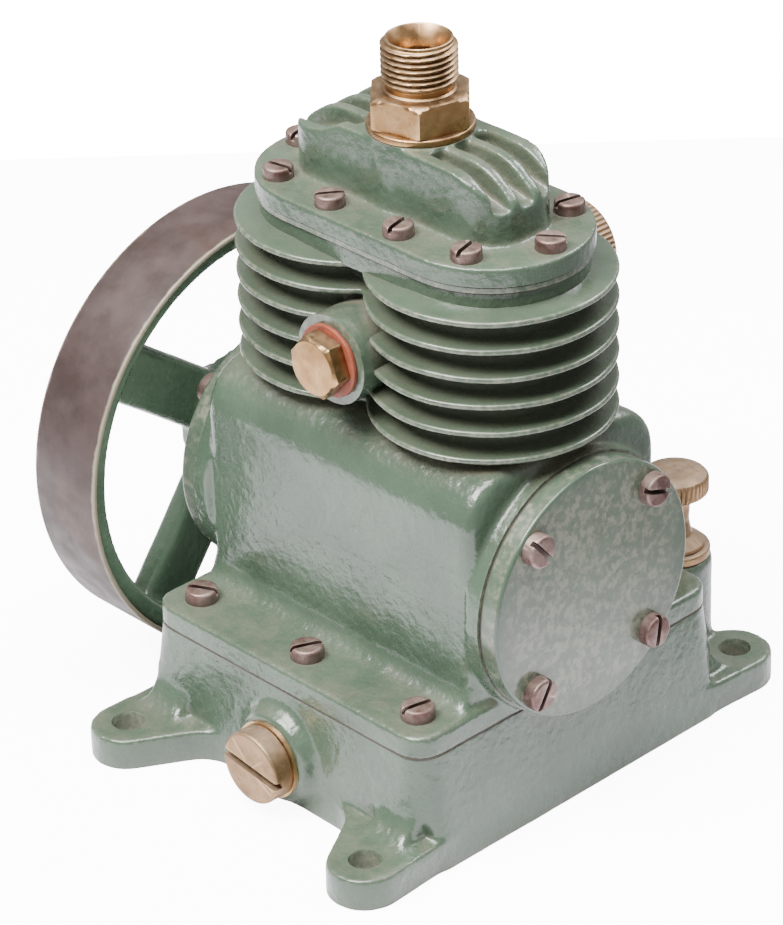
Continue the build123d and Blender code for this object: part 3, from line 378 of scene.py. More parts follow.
# ---------------------------------------------------------------- materials
class Graph:
    """A procedural material, with short calls for its nodes. Sizes are in mm."""

    def __init__(self, name):
        self.material = bpy.data.materials.new(name)
        self.material.use_nodes = True
        self.nodes = self.material.node_tree.nodes
        self.links = self.material.node_tree.links
        self.shader = self.nodes["Principled BSDF"]
        coordinates = self.nodes.new("ShaderNodeTexCoord")
        self.place = coordinates.outputs["Object"]
        split = self.nodes.new("ShaderNodeSeparateXYZ")
        self.links.new(coordinates.outputs["Normal"], split.inputs[0])
        self.up = split.outputs["Z"]
        self.points = self.nodes.new("ShaderNodeNewGeometry").outputs["Pointiness"]

    def put(self, socket, value):
        if isinstance(value, bpy.types.NodeSocket):
            self.links.new(value, socket)
        else:
            socket.default_value = value

    def noise(self, size, detail=3.0, roughness=0.55, stretch=(1, 1, 1)):
        """Cloudy value from 0 to 1, its features about size mm across."""
        node = self.nodes.new("ShaderNodeTexNoise")
        mapping = self.nodes.new("ShaderNodeMapping")
        mapping.inputs["Scale"].default_value = [1 / (size * MM * s) for s in stretch]
        self.links.new(self.place, mapping.inputs["Vector"])
        self.links.new(mapping.outputs["Vector"], node.inputs["Vector"])
        node.inputs["Scale"].default_value = 1
        node.inputs["Detail"].default_value = detail
        node.inputs["Roughness"].default_value = roughness
        return node.outputs["Fac"]

    def axis(self, name):
        """A coordinate of the surface, in mm."""
        split = self.nodes.new("ShaderNodeSeparateXYZ")
        self.links.new(self.place, split.inputs[0])
        return self.math("MULTIPLY", split.outputs[name], 1 / MM)

    def math(self, operation, a, b=0.0):
        node = self.nodes.new("ShaderNodeMath")
        node.operation = operation
        self.put(node.inputs[0], a)
        self.put(node.inputs[1], b)
        return node.outputs[0]

    def band(self, value, low, high, start=0.0, end=1.0):
        """start below low, end above high, and a smooth step between."""
        node = self.nodes.new("ShaderNodeMapRange")
        node.interpolation_type = "SMOOTHSTEP"
        for socket, number in zip(("From Min", "From Max", "To Min", "To Max"), (low, high, start, end)):
            node.inputs[socket].default_value = number
        self.put(node.inputs["Value"], value)
        return node.outputs["Result"]

    def mix(self, factor, a, b):
        """Colour a where factor is 0 and b where it is 1."""
        node = self.nodes.new("ShaderNodeMix")
        node.data_type = "RGBA"
        self.put(node.inputs["Factor"], factor)
        for socket, colour in ((node.inputs["A"], a), (node.inputs["B"], b)):
            for candidate in [s for s in node.inputs if s.name == socket.name and s.type == "RGBA"]:
                self.put(candidate, (*colour, 1) if isinstance(colour, tuple) else colour)
        return [s for s in node.outputs if s.type == "RGBA"][0]

    def crevice(self, distance):
        """1 in open places, towards 0 in corners and gaps narrower than distance."""
        node = self.nodes.new("ShaderNodeAmbientOcclusion")
        node.samples = 6
        node.inputs["Distance"].default_value = distance * MM
        return node.outputs["AO"]

    def bump(self, *layers):
        """Relief from (value, depth in mm) layers."""
        previous = None
        for value, depth in layers:
            node = self.nodes.new("ShaderNodeBump")
            node.inputs["Distance"].default_value = depth * MM
            self.put(node.inputs["Height"], value)
            if previous:
                self.links.new(previous, node.inputs["Normal"])
            previous = node.outputs["Normal"]
        self.links.new(previous, self.shader.inputs["Normal"])

    def surface(self, colour, roughness, **uniform):
        self.put(self.shader.inputs["Base Color"], colour)
        self.put(self.shader.inputs["Roughness"], roughness)
        for name, value in uniform.items():
            self.shader.inputs[name.replace("_", " ").title()].default_value = value
        return self.material


GREEN_LIGHT = (0.054, 0.086, 0.055)
GREEN_DARK = (0.037, 0.062, 0.039)
DUST = (0.150, 0.128, 0.096)
BARE = (0.26, 0.25, 0.19)
METAL_DUST = (0.34, 0.27, 0.21)


def enamel(name, pebble, dust, wear, tone=1.0):
    """Old gloss enamel over a sand casting, dusty on top, rubbed thin on its edges."""
    g = Graph(name)
    dark, light = (tuple(tone * c for c in colour) for colour in (GREEN_DARK, GREEN_LIGHT))
    green = g.mix(g.band(g.noise(22, 3), 0.30, 0.70), dark, light)
    rubbed = g.math("MULTIPLY", g.band(g.points, 0.515, 0.56), g.band(g.noise(1.6, 4), 0.42, 0.62, 0.2, 1.0))
    green = g.mix(g.math("MULTIPLY", rubbed, wear), green, BARE)
    open_place = g.crevice(7)
    on_top = g.math("MULTIPLY", g.band(g.up, 0.45, 0.95), g.band(g.noise(7, 5, 0.65), 0.34, 0.66, 0.15, 1.0))
    in_corner = g.math("MULTIPLY", g.band(open_place, 0.30, 0.80, 1.0, 0.0), g.band(g.up, -0.25, 0.4))
    dusty = g.math("MULTIPLY", g.math("MAXIMUM", g.math("MULTIPLY", on_top, 0.42), in_corner), dust)
    grit = g.math("MULTIPLY", dusty, g.band(g.noise(0.6, 3), 0.3, 0.7, 0.55, 1.0))
    colour = g.mix(grit, green, DUST)
    chips = g.math("MULTIPLY", g.band(g.noise(2.6, 5, 0.7), 0.735, 0.765), 0.7)
    colour = g.mix(chips, colour, (0.10, 0.075, 0.05))
    roughness = g.math("ADD", g.band(g.noise(9, 3), 0.3, 0.7, 0.20, 0.32), g.math("MULTIPLY", grit, 0.38))
    g.bump((g.noise(2.0, 2.0, 0.45), pebble), (g.noise(0.7, 2.0), pebble * 0.12), (grit, 0.02))
    return g.surface(colour, roughness, coat_weight=0.3, coat_roughness=0.10)


def aged_metal(name, bright, dull, stain, roughness, edge=0.6, metallic=1.0, grain=0.01, stain_from=0.55,
               dust=0.35):
    """Metal with a patina and painted shade that darkens its hollows, rubbed bright on edges, dusty on top.
    """
    g = Graph(name)
    between = tuple(0.6 * d + 0.4 * b for d, b in zip(dull, bright))
    colour = g.mix(g.band(g.noise(5, 5, 0.6), 0.3, 0.7), dull, between)
    colour = g.mix(g.band(g.noise(1.7, 6, 0.7), stain_from, stain_from + 0.16, 0.0, 0.75), colour, stain)
    # painted shade: colour darkened in hollows and slots, where shade falls
    painted_hollow_shade = g.band(g.crevice(2.2), 0.35, 0.85, 0.85, 0.0)
    colour = g.mix(painted_hollow_shade, colour, tuple(0.45 * s for s in stain))
    colour = g.mix(g.math("MULTIPLY", g.band(g.points, 0.52, 0.60), edge), colour, bright)
    patches = g.band(g.noise(2.2, 5, 0.65), 0.3, 0.7, 0.35 * dust, dust)
    settled = g.math("MULTIPLY", g.band(g.up, 0.3, 0.95), patches)
    colour = g.mix(settled, colour, METAL_DUST)
    rough = g.band(g.noise(2.4, 4), 0.3, 0.7, roughness - 0.07, roughness + 0.10)
    rough = g.math("ADD", rough, g.math("MULTIPLY", settled, 0.45))
    g.bump((g.noise(0.35, 3), grain), (g.noise(3, 2), grain * 1.6))
    return g.surface(colour, rough, metallic=metallic)


def belt_iron(name):
    """Browned iron belt face, with turning lines round it and bare rubbed edges."""
    g = Graph(name)
    low, high = cad("flywheel")
    from_low, from_high = g.math("SUBTRACT", g.axis("X"), low.x), g.math("SUBTRACT", high.x, g.axis("X"))
    near_edge = g.math("MINIMUM", from_low, from_high)
    colour = g.mix(g.band(g.noise(11, 5, 0.6), 0.30, 0.70), (0.028, 0.016, 0.014), (0.050, 0.032, 0.030))
    colour = g.mix(g.band(g.noise(1.2, 6, 0.75), 0.60, 0.74, 0.0, 0.8), colour, (0.022, 0.014, 0.012))
    colour = g.mix(g.band(g.noise(30, 3), 0.52, 0.72, 0.0, 0.5), colour, (0.070, 0.034, 0.018))
    worn = g.math("ADD", near_edge, g.math("MULTIPLY", g.noise(4, 4), -1.3))
    colour = g.mix(g.band(worn, -0.5, 0.3, 1.0, 0.0), colour, (0.24, 0.21, 0.15))
    turning = g.noise(0.28, 2, 0.5, stretch=(1, 60, 60))
    g.bump((turning, 0.014), (g.noise(0.8, 4), 0.02))
    return g.surface(colour, g.band(g.noise(6, 4), 0.3, 0.7, 0.40, 0.58), metallic=0.1)


def soft_stuff(name, light, dark, size, roughness, relief, sheen=0.0):
    """Matt material such as fibre, paper, rubber or felt, with painted shade in its crevices."""
    g = Graph(name)
    colour = g.mix(g.band(g.noise(size, 6, 0.7), 0.3, 0.7), dark, light)
    # painted shade: colour darkened in crevices and gaps, where shade falls
    colour = g.mix(g.band(g.crevice(1.5), 0.3, 0.9, 0.6, 0.0), colour, tuple(0.4 * d for d in dark))
    g.bump((g.noise(size * 0.5, 5, 0.7), relief))
    rough = g.band(g.noise(size * 2, 3), 0.3, 0.7, roughness - 0.08, roughness + 0.08)
    return g.surface(colour, rough, sheen_weight=sheen)


cast_green = enamel("cast_green_enamel", pebble=0.30, dust=0.95, wear=0.35)
fin_green = enamel("fin_green_enamel", pebble=0.08, dust=0.5, wear=0.9)
cover_green = enamel("cover_green_enamel", pebble=0.04, dust=0.25, wear=0.5)
wheel_green = enamel("wheel_green_enamel", pebble=0.22, dust=0.6, wear=0.5, tone=1.9)
brass = aged_metal("aged_brass", (0.62, 0.42, 0.22), (0.30, 0.165, 0.068), (0.120, 0.062, 0.026), 0.31,
                   stain_from=0.58)
dull_brass = aged_metal("dusty_brass", (0.50, 0.33, 0.18), (0.200, 0.118, 0.060), (0.095, 0.052, 0.026), 0.42,
                        metallic=0.85, grain=0.02, dust=0.6)
brown_steel = aged_metal("browned_screw_steel", (0.46, 0.36, 0.32), (0.090, 0.040, 0.034),
                         (0.050, 0.017, 0.013), 0.40, edge=0.9, metallic=0.7, grain=0.03, dust=0.28)
bright_steel = aged_metal("ground_steel", (0.70, 0.69, 0.67), (0.42, 0.41, 0.39), (0.22, 0.18, 0.14), 0.28)
belt_face = belt_iron("browned_belt_iron")
plain_iron = aged_metal("machined_cast_iron", (0.50, 0.48, 0.45), (0.22, 0.21, 0.20), (0.12, 0.085, 0.06),
                        0.45, metallic=0.9)
bronze = aged_metal("bearing_bronze", (0.66, 0.43, 0.24), (0.40, 0.22, 0.10), (0.18, 0.10, 0.05), 0.36)
aluminium = aged_metal("cast_aluminium", (0.74, 0.74, 0.73), (0.50, 0.50, 0.49), (0.28, 0.27, 0.25), 0.40)
fibre = soft_stuff("red_fibre", (0.26, 0.055, 0.022), (0.13, 0.028, 0.014), 1.2, 0.62, 0.03)
paper = soft_stuff("oiled_gasket_paper", (0.050, 0.042, 0.028), (0.026, 0.023, 0.016), 1.5, 0.72, 0.02)
rubber = soft_stuff("seal_rubber", (0.030, 0.029, 0.027), (0.016, 0.016, 0.015), 2.0, 0.55, 0.01)
felt = soft_stuff("filter_felt", (0.46, 0.42, 0.34), (0.30, 0.27, 0.21), 0.5, 0.95, 0.12, sheen=0.4)
SLOT_MATERIALS = {
    "green_enamel": cover_green, "brass": brass, "dark_steel": brown_steel, "bright_steel": bright_steel,
    "bare_iron": plain_iron, "fibre": fibre, "gasket_paper": paper, "bronze": bronze,
    "aluminium": aluminium, "seal_rubber": rubber, "felt": felt,
}


# ---------------------------------------------------------------- crankcase and cylinders
CAVITY_X, CAVITY_Y, CAVITY_R, CAVITY_TOP = 36, 24, 4, 80.5
CORE_Y, PORT_BORE_R = 15.5, 5.0


def case_section(inset):
    """Section of the crankcase body square to the shaft, as (y, z), with round shoulders."""
    half, top, radius, foot = BODY_Y - inset, BODY_TOP - inset, SHOULDER_R - inset, JOINT_Z - 3
    return rounded([(half, foot, 0), (half, top, radius), (-half, top, radius), (-half, foot, 0)], 8)


def root_flare(side):
    """Section function of the concave fillet between the body's long wall and the flange."""
    top = JOINT_Z + FLANGE_T

    def outline(inset):
        reach = ROOT_FILLET - 0.6 * inset
        curve = arc((BODY_Y + reach, top + reach), reach, 180, 270, 8)
        points = curve + [(BODY_Y + reach, top - 1.5), (BODY_Y - 2, top - 1.5), (BODY_Y - 2, top + reach)]
        return [(side * y, z) for y, z in points]
    return outline


bm = bmesh.new()
eased_prism(bm, case_section, -BODY_X, BODY_X, 3.0, 3.0, along_x)
for side in (-1, 1):
    eased_prism(bm, root_flare(side), -BODY_X + 0.5, BODY_X - 0.5, 2.5, 2.5, along_x)
    rod(bm, (side * (BODY_X - 1), 0, SHAFT_Z), (side * (PAD_X + 1.5), 0, SHAFT_Z), PAD_R, segments=120)
    rod(bm, (side * CYLINDER_X, 0, BODY_TOP - 8), (side * CYLINDER_X, 0, DECK_Z + 1.5), BARREL_R)
    rod(bm, (0, 0, PORT.z), (0, side * (1.2 - PORT_FACE_Y), PORT.z), PORT_BOSS_R)
eased_prism(bm, round_rect(FLANGE_X, FLANGE_Y, FLANGE_CORNER), JOINT_Z - 1.5, JOINT_Z + FLANGE_T, 0, 0.9)
box(bm, (-CYLINDER_X, -CORE_Y, BODY_TOP - 8), (CYLINDER_X, CORE_Y, DECK_Z - 2))
eased_prism(bm, obround(DECK_ARC_X, DECK_R), FIN_LOW_Z + (FIN_COUNT - 1) * FIN_PITCH, DECK_Z + 1.5)
casting = cast_skin("crankcase_casting", bm, 0.62, 7, 0.10, seed=1)

bm = bmesh.new()
eased_prism(bm, round_rect(CAVITY_X, CAVITY_Y, CAVITY_R), JOINT_Z - 4, CAVITY_TOP)
cuts = [bm]
cuts += cutter(
    (box, (-90, -90, -20), (90, 90, JOINT_Z)),
    (box, (-90, -90, DECK_Z), (90, 90, DECK_Z + 20)),
    (box, (PAD_X, -60, 0), (PAD_X + 20, 60, 140)),
    (box, (-PAD_X - 20, -60, 0), (-PAD_X, 60, 140)),
    (box, (-30, PORT_FACE_Y - 20, 80), (30, PORT_FACE_Y, 120)),
    (box, (-30, -PORT_FACE_Y, 80), (30, -PORT_FACE_Y + 20, 120)),
    (rod, (-PAD_X - 5, 0, SHAFT_Z), (PAD_X + 5, 0, SHAFT_Z), PAD_BORE_R),
    (rod, (-CYLINDER_X, 0, 70), (-CYLINDER_X, 0, DECK_Z + 5), LINER_R),
    (rod, (CYLINDER_X, 0, 70), (CYLINDER_X, 0, DECK_Z + 5), LINER_R),
    (rod, (0, PORT_FACE_Y - 3, PORT.z), (0, PORT_FACE_Y + 12, PORT.z), PORT_BORE_R),
    (rod, (0, -PORT_FACE_Y + 3, PORT.z), (0, -PORT_FACE_Y - 12, PORT.z), PORT_BORE_R),
)
carve(casting, cuts)
casting.data.materials.append(cast_green)
finish_piece(casting, "frame", "green_enamel", "crankcase_block")


def fin_path(radius, waist=3.2, steps=84):
    """Figure-of-eight outline of the fins as (edge point, cylinder axis) pairs, its waist corners rounded."""
    reach = math.degrees(math.acos(-CYLINDER_X / radius))
    path = [(p, (CYLINDER_X, 0)) for p in arc((CYLINDER_X, 0), radius, -reach + 3, reach - 3, steps)]
    tip_right, tip_left = path[-1][0], (-path[-1][0][0], path[-1][0][1])
    fillet = []
    for k in range(1, 6):
        t = k / 6
        x = tip_right[0] + (tip_left[0] - tip_right[0]) * t
        y = tip_right[1] - waist * 0.16 * math.sin(math.pi * t)
        fillet.append(((x, y), (CYLINDER_X if t < 0.5 else -CYLINDER_X, 0)))
    half = path + fillet
    return half + [((-x, -y), (-cx, -cy)) for (x, y), (cx, cy) in half]


# (distance in from the edge, half thickness as a share of the tip's)
FIN_SECTION = (
    (0.0, 0.0), (0.05, 0.38), (0.2, 0.72), (0.45, 0.94), (0.8, 1.0), (2.4, 1.14), (4.2, 1.34),
    (5.6, 1.62), (6.3, 2.1), (6.8, 3.0), (7.1, 3.9), (9.0, 4.2),
)
bm = bmesh.new()
for index in range(FIN_COUNT):
    z = FIN_LOW_Z + index * FIN_PITCH
    path = fin_path(FIN_R)
    rings = []
    for face in (1, -1):
        for depth, thick in FIN_SECTION[::-1] if face < 0 else FIN_SECTION:
            ring = []
            for (x, y), (cx, cy) in path:
                inward = Vector((cx - x, cy - y, 0)).normalized()
                ripple = 0.16 * noise.noise(Vector((x * 0.09, y * 0.09, index * 5.3)))
                nick = 0.10 * max(0.0, noise.noise(Vector((x * 0.5, y * 0.5, index * 9.1))) - 0.25)
                edge = Vector((x, y, z + ripple)) + inward * (depth + 0.06 + nick)
                ring.append(edge + Vector((0, 0, face * thick * FIN_TIP_T / 2)))
            if depth > 0 or face > 0:
                rings.append(ring)
    made = [[bm.verts.new(p) for p in ring] for ring in rings]
    for ring, other in zip(made, made[1:] + made[:1]):
        for k in range(len(ring)):
            n = (k + 1) % len(ring)
            bm.faces.new((ring[k], ring[n], other[n], other[k]))
fins = new_object("cooling_fins", bm, fin_green, 50)
finish_piece(fins, "frame", "green_enamel", "crankcase_block")

# ---------------------------------------------------------------- base sump
FOOT_X, FOOT_Y, FOOT_R, FOOT_T, FOOT_HOLE_R = 39.0, 59.0, 8.6, 7.5, 3.6
DRAIN = middle("drain_washer")
DRAIN_FACE_Y = cad("drain_washer")[1].y
NECK = middle("filler_cap")
NECK_TOP = 28.5
SUMP_FAR_Y = cad("base_sump")[1].y - 0.02
WEB_END_X, WALL_X, LUG_SIDE_X = 47.0, 42.6, 46.6
DRAIN_BOSS_R, NECK_BORE_R = (16.0, 12.2), 5.3

bm = as_bmesh(frame["nodes"]["base_sump"].data)
for v in bm.verts:
    if v.co.z < 0.01:
        v.co.z = -1.5
    elif abs(v.co.z - SUMP_TOP) < 0.01:
        v.co.z = SUMP_TOP + 1.5
    # the web over a lug runs out into the wall's round corner
    if abs(abs(v.co.x) - WEB_END_X) < 0.1 and v.co.z > FOOT_T - 1.1:
        v.co.x = math.copysign(WALL_X, v.co.x)
    elif abs(abs(v.co.x) - FOOT_X - FOOT_R) < 0.05 and abs(v.co.y) < FOOT_Y - 4:
        v.co.x = math.copysign(LUG_SIDE_X, v.co.x)
rod(bm, (0, DRAIN_FACE_Y + 7.5, DRAIN.z), (0, DRAIN_FACE_Y + 3.4, DRAIN.z), *DRAIN_BOSS_R)
# each lug's plan, with wide hollow corners where it leaves the wall
LUG_PLAN = rounded([
    (46.4, 34, 0), (FOOT_X + FOOT_R, FOOT_Y + FOOT_R, FOOT_R - 0.1), (34.0, FOOT_Y + FOOT_R, FOOT_R - 0.1),
    (22.7, 48.0, 9.0), (8.0, 48.0, 0), (8.0, 34, 0),
], 8)
for sx in (-1, 1):
    for sy in (-1, 1):
        loft(bm, [[(sx * x, sy * y, z) for x, y in LUG_PLAN] for z in (-1.5, FOOT_T)])
sump = cast_skin("base_casting", bm, 0.62, 18, 0.10, seed=2)
cuts = cutter(
    (box, (-90, -90, -20), (90, 90, 0)),
    (box, (-90, -90, SUMP_TOP), (90, FLANGE_Y + 0.3, SUMP_TOP + 20)),
    (box, (PAD_X, -35, 22), (PAD_X + 8, 35, 40)),
    (box, (-90, SUMP_FAR_Y, -20), (90, 90, 40)),
    (box, (-90, -90, -20), (90, -SUMP_FAR_Y, 40)),
    (rod, (NECK.x, NECK.y, NECK_TOP + 5), (NECK.x, NECK.y, 7), NECK_BORE_R),
)
for sx in (-1, 1):
    for sy in (-1, 1):
        x, y = sx * FOOT_X, sy * FOOT_Y
        cuts += cutter(
            (rod, (x, y, -5), (x, y, 20), FOOT_HOLE_R),
            (rod, (x, y, FOOT_T - 0.2), (x, y, FOOT_T + 2), FOOT_HOLE_R, FOOT_HOLE_R + 1.8),
        )
carve(sump, cuts)
sump.data.materials.append(cast_green)
finish_piece(sump, "frame", "green_enamel", "base_sump")

# ---------------------------------------------------------------- cylinder head
bm = as_bmesh(frame["nodes"]["cylinder_head"].data)
for v in bm.verts:
    if abs(v.co.z - HEAD_LOW.z) < 0.01:
        v.co.z -= 1.2
    elif v.co.z > HEAD_HIGH.z - 0.01:
        v.co.z += 1.0
head = cast_skin("head_casting", bm, 0.42, 12, 0.09, seed=3)
carve(head, cutter(
    (box, (-90, -90, HEAD_LOW.z - 10), (90, 90, HEAD_LOW.z)),
    (box, (-90, -90, HEAD_HIGH.z), (90, 90, HEAD_HIGH.z + 10)),
))
head.data.materials.append(cast_green)
finish_piece(head, "frame", "green_enamel", "cylinder_head")

# ---------------------------------------------------------------- flywheel
WHEEL_LOW, WHEEL_HIGH = cad("flywheel")
WHEEL_R = WHEEL_HIGH.y
BAND_T = 1.1
bm = as_bmesh(frame["nodes"]["flywheel"].data)
for v in bm.verts:
    arm = Vector((v.co.y, v.co.z - SHAFT_Z))
    if arm.length > WHEEL_R - BAND_T / 2:
        arm *= (WHEEL_R - BAND_T / 2) / arm.length
        v.co.y, v.co.z = arm.x, SHAFT_Z + arm.y
wheel = cast_skin("flywheel_casting", bm, 0.66, 8, 0.08, seed=4)
wheel.data.materials.append(wheel_green)
finish_piece(wheel, "crank", "green_enamel", "flywheel")

wide = WHEEL_HIGH.x - WHEEL_LOW.x
band = turned(
    "flywheel_belt_face",
    [(WHEEL_R - BAND_T, 0, 0.2), (WHEEL_R, 0, 0.5), (WHEEL_R, wide * 0.33, 0), (WHEEL_R, wide * 0.66, 0),
     (WHEEL_R, wide, 0.5), (WHEEL_R - BAND_T, wide, 0.2)],
    (WHEEL_LOW.x, 0, SHAFT_Z), (1, 0, 0), belt_face, segments=240, start=(0, 0, 1),
)
finish_piece(band, "crank", "bare_iron", "flywheel")


# ---------------------------------------------------------------- screws
STUB_R, STUB_L = 1.9, 2.5


def cheese_screw(radius, height, slot):
    """Mesh of a slotted cheese head seated on z = 0, with a stub of its shank."""
    profile = [(0, -STUB_L, 0), (STUB_R, -STUB_L, 0), (STUB_R, 0, 0), (radius, 0, 0)]
    profile += [(radius - 0.08, height - 0.05, height * 0.26), (0, height, 0)]
    screw = turned("screw", profile, (0, 0, 0), (0, 0, 1), segments=48)
    carve(screw, cutter((box, (-10, -slot / 2, height * 0.48), (10, slot / 2, height + 5))))
    bevel(screw, 0.14)
    mesh = screw.data
    bpy.data.objects.remove(screw)
    return mesh


def screw_set(name, mesh, seats, axis):
    """All screws of one CAD node, each turned to its own slot angle."""
    bm = bmesh.new()
    for seat in seats:
        start = len(bm.verts)
        bm.from_mesh(mesh)
        bm.verts.ensure_lookup_table()
        fresh = bm.verts[start:]
        tilt = Vector((0, 0, 1)).rotation_difference(Vector(axis)).to_matrix().to_4x4()
        lean = Matrix.Rotation(math.radians(RNG.uniform(-0.8, 0.8)), 4, "X")
        turn = Matrix.Rotation(RNG.uniform(0, TAU / 2), 4, "Z")
        place = Matrix.Translation(Vector(seat) * MM) @ tilt @ lean @ turn
        bmesh.ops.transform(bm, matrix=Matrix.Scale(1 / MM, 4) @ place, verts=fresh)
    screws = flat_faces(new_object(name, bm, brown_steel, 45))
    finish_piece(screws, "frame", "dark_steel", name.replace("_heads", ""))


large_screw = cheese_screw(3.85, 3.0, 1.15)
small_screw = cheese_screw(3.45, 2.8, 1.05)
flange_seats = [(x, y, JOINT_Z + FLANGE_T) for x, y in FLANGE_SCREWS]
screw_set("flange_screws_heads", large_screw, flange_seats, (0, 0, 1))
for name, side in (("bearing_cover_screws_heads", 1), ("flywheel_side_screws_heads", -1)):
    places = [(y, z) for y in (-COVER_SCREW, COVER_SCREW) for z in (-COVER_SCREW, COVER_SCREW)]
    seats = [(side * COVER_FACE_X, y, SHAFT_Z + z) for y, z in places]
    screw_set(name, large_screw, seats, (side, 0, 0))
head_seats = [
    (sx * (DECK_ARC_X + HEAD_SCREW_R * math.cos(a)), sy * HEAD_SCREW_R * math.sin(a), HEAD_FLANGE_TOP)
    for sx in (-1, 1) for sy, a in ((1, 0.0), (1, 1.1), (-1, 1.1))
]
head_seats += [(sx * DECK_ARC_X / 2, sy * HEAD_SCREW_R, HEAD_FLANGE_TOP) for sx in (-1, 1) for sy in (-1, 1)]
screw_set("head_screws_heads", small_screw, head_seats, (0, 0, 1))


# ---------------------------------------------------------------- outlet adapter with its thread
def hexagon(radius, apothem, angle, corner):
    """Radius of a hexagon at an angle, cut off by a turned chamfer of the given radius."""
    local = (angle - corner) % (TAU / 6) - TAU / 12
    return min(radius, apothem / math.cos(local))


OUTLET_HEX_LOW = cad("outlet_washer")[1].z
OUTLET_HEX_TOP = OUTLET_HEX_LOW + 7.4
OUTLET_TOP = cad("outlet_adapter")[1].z
HEX_APOTHEM = 10.4
HEX_CORNER = math.radians(15)
THREAD_R, THREAD_DEPTH, THREAD_PITCH = 8.33, 0.85, 1.337
THREAD_LOW, THREAD_HIGH = OUTLET_HEX_TOP + 1.2, OUTLET_TOP - 0.7


def outlet_shape(radius, height, angle):
    if height <= OUTLET_HEX_TOP and radius > HEX_APOTHEM - 0.9:
        return hexagon(radius, HEX_APOTHEM, angle, HEX_CORNER)
    if radius > THREAD_R - 0.01:
        phase = (height / THREAD_PITCH - angle / TAU) % 1
        flank = min(1.0, max(0.0, (abs(2 * phase - 1) - 0.10) / 0.76))
        run_out = min(1.0, (height - THREAD_LOW) / 1.4, (THREAD_HIGH - height) / 0.5)
        return THREAD_R - THREAD_DEPTH * (1 - run_out * (1 - flank))
    return radius


low, top = OUTLET_HEX_LOW, OUTLET_HEX_TOP
profile = [(4.5, low - 0.3), (11.3, low - 0.02), (11.75, low + 0.25), (12.3, low + 0.9), (12.3, top - 1.7)]
profile += [(12.05, top - 1.0), (11.4, top - 0.55), (10.7, top - 0.2), (10.1, top - 0.03), (9.6, top)]
profile += [(7.9, top), (THREAD_R - THREAD_DEPTH, top + 0.35), (THREAD_R - THREAD_DEPTH, THREAD_LOW)]
rings = 104
profile += [(THREAD_R, THREAD_LOW + (THREAD_HIGH - THREAD_LOW) * k / rings) for k in range(1, rings)]
profile += [(THREAD_R - THREAD_DEPTH, THREAD_HIGH), (7.35, OUTLET_TOP - 0.12), (7.15, OUTLET_TOP)]
profile += [(6.95, OUTLET_TOP), (6.7, OUTLET_TOP - 0.25), (4.55, OUTLET_TOP - 4.1), (4.5, OUTLET_TOP - 4.6)]
bm = bmesh.new()
lathe(bm, profile, (0, 0, 0), (0, 0, 1), 120, outlet_shape, (1, 0, 0))
outlet = new_object("outlet_adapter_turned", bm, brass, 28)
finish_piece(outlet, "frame", "brass", "outlet_adapter")
washer_low, washer_high = cad("outlet_washer")
washer = turned(
    "outlet_washer_turned",
    [(7.2, washer_low.z, 0.2), (11.8, washer_low.z, 0.35),
     (11.8, washer_high.z, 0.45), (7.2, washer_high.z, 0.2)],
    (0, 0, 0), (0, 0, 1), brass, 96,
)
finish_piece(washer, "frame", "brass", "outlet_washer")

# ---------------------------------------------------------------- front port plug and drain plug
PORT_CORNER = math.radians(-10)
PORT_HEX_Y = cad("port_plug_washer")[0].y
PORT_APOTHEM = 6.5


def port_shape(radius, height, angle):
    if height >= 0 and radius > PORT_APOTHEM - 1:
        return hexagon(radius, PORT_APOTHEM, angle, PORT_CORNER)
    return radius


def squeezed(radius, height, angle):
    """The fibre washer's rim, slightly uneven from being squeezed."""
    if radius <= 6:
        return radius
    return radius + 0.12 * noise.noise(Vector((math.cos(angle), math.sin(angle), 0)) * 2.3)


profile = [(0, -6, 0), (4.9, -6, 0), (4.9, 0, 0), (7.3, 0, 0)]
profile += [(7.6, 0.5, 0), (7.6, 3.5, 0.6), (6.2, 4.45, 0.3), (0, 4.58, 0)]
bm = bmesh.new()
lathe(bm, rounded(profile, 4), (0, PORT_HEX_Y, PORT.z), (0, -1, 0), 120, port_shape, (-1, 0, 0))
finish_piece(new_object("port_plug_turned", bm, brass, 28), "frame", "brass", "port_plug")
ring = turned(
    "port_fibre_washer",
    [(5.1, 0, 0), (8.35, 0, 0.3), (8.4, 1.2, 0.3), (5.1, 1.2, 0)],
    (0, PORT_FACE_Y, PORT.z), (0, -1, 0), fibre, shape=squeezed,
)
finish_piece(ring, "frame", "fibre", "port_plug_washer")

DRAIN_HEAD_R, DRAIN_HEAD_T, DRAIN_SLOT = 8.6, 5.2, 1.9
drain_seat = cad("drain_washer")[0].y
drain = turned(
    "drain_plug_turned",
    [(0, -9, 0), (5.9, -9, 0), (5.9, 0, 0),
     (DRAIN_HEAD_R, 0, 0.3), (DRAIN_HEAD_R, DRAIN_HEAD_T, 0.75), (0, DRAIN_HEAD_T, 0)],
    (0, drain_seat, DRAIN.z), (0, -1, 0),
)
slot = cutter((box, (-20, -3, -DRAIN_SLOT / 2), (20, 2.0, DRAIN_SLOT / 2)))[0]
turn = Matrix.Rotation(math.radians(8), 4, "Y")
place = Matrix.Translation((0, drain_seat - DRAIN_HEAD_T, DRAIN.z)) @ turn
bmesh.ops.transform(slot, verts=slot.verts, matrix=place)
carve(drain, [slot])
flat_faces(bevel(drain, 0.16))
drain.data.materials.append(dull_brass)
finish_piece(drain, "frame", "brass", "drain_plug")

# ---------------------------------------------------------------- filler cap and collar
KNURLS = 46
cap_low, cap_high = cad("filler_cap")
collar_top = cad("filler_collar")[1].z
KNOB_LOW = cap_high.z - 5.8
KNOB_R = cap_high.x - NECK.x
DIPSTICK_R = 1.15


def knurled(radius, height, angle):
    """Straight knurling round the rim of a knob."""
    if radius < KNOB_R - 0.45:
        return radius
    tooth = abs((angle * KNURLS / TAU) % 1 - 0.5) * 2
    return radius - 0.34 * min(1.0, max(0.0, 1.25 * tooth))


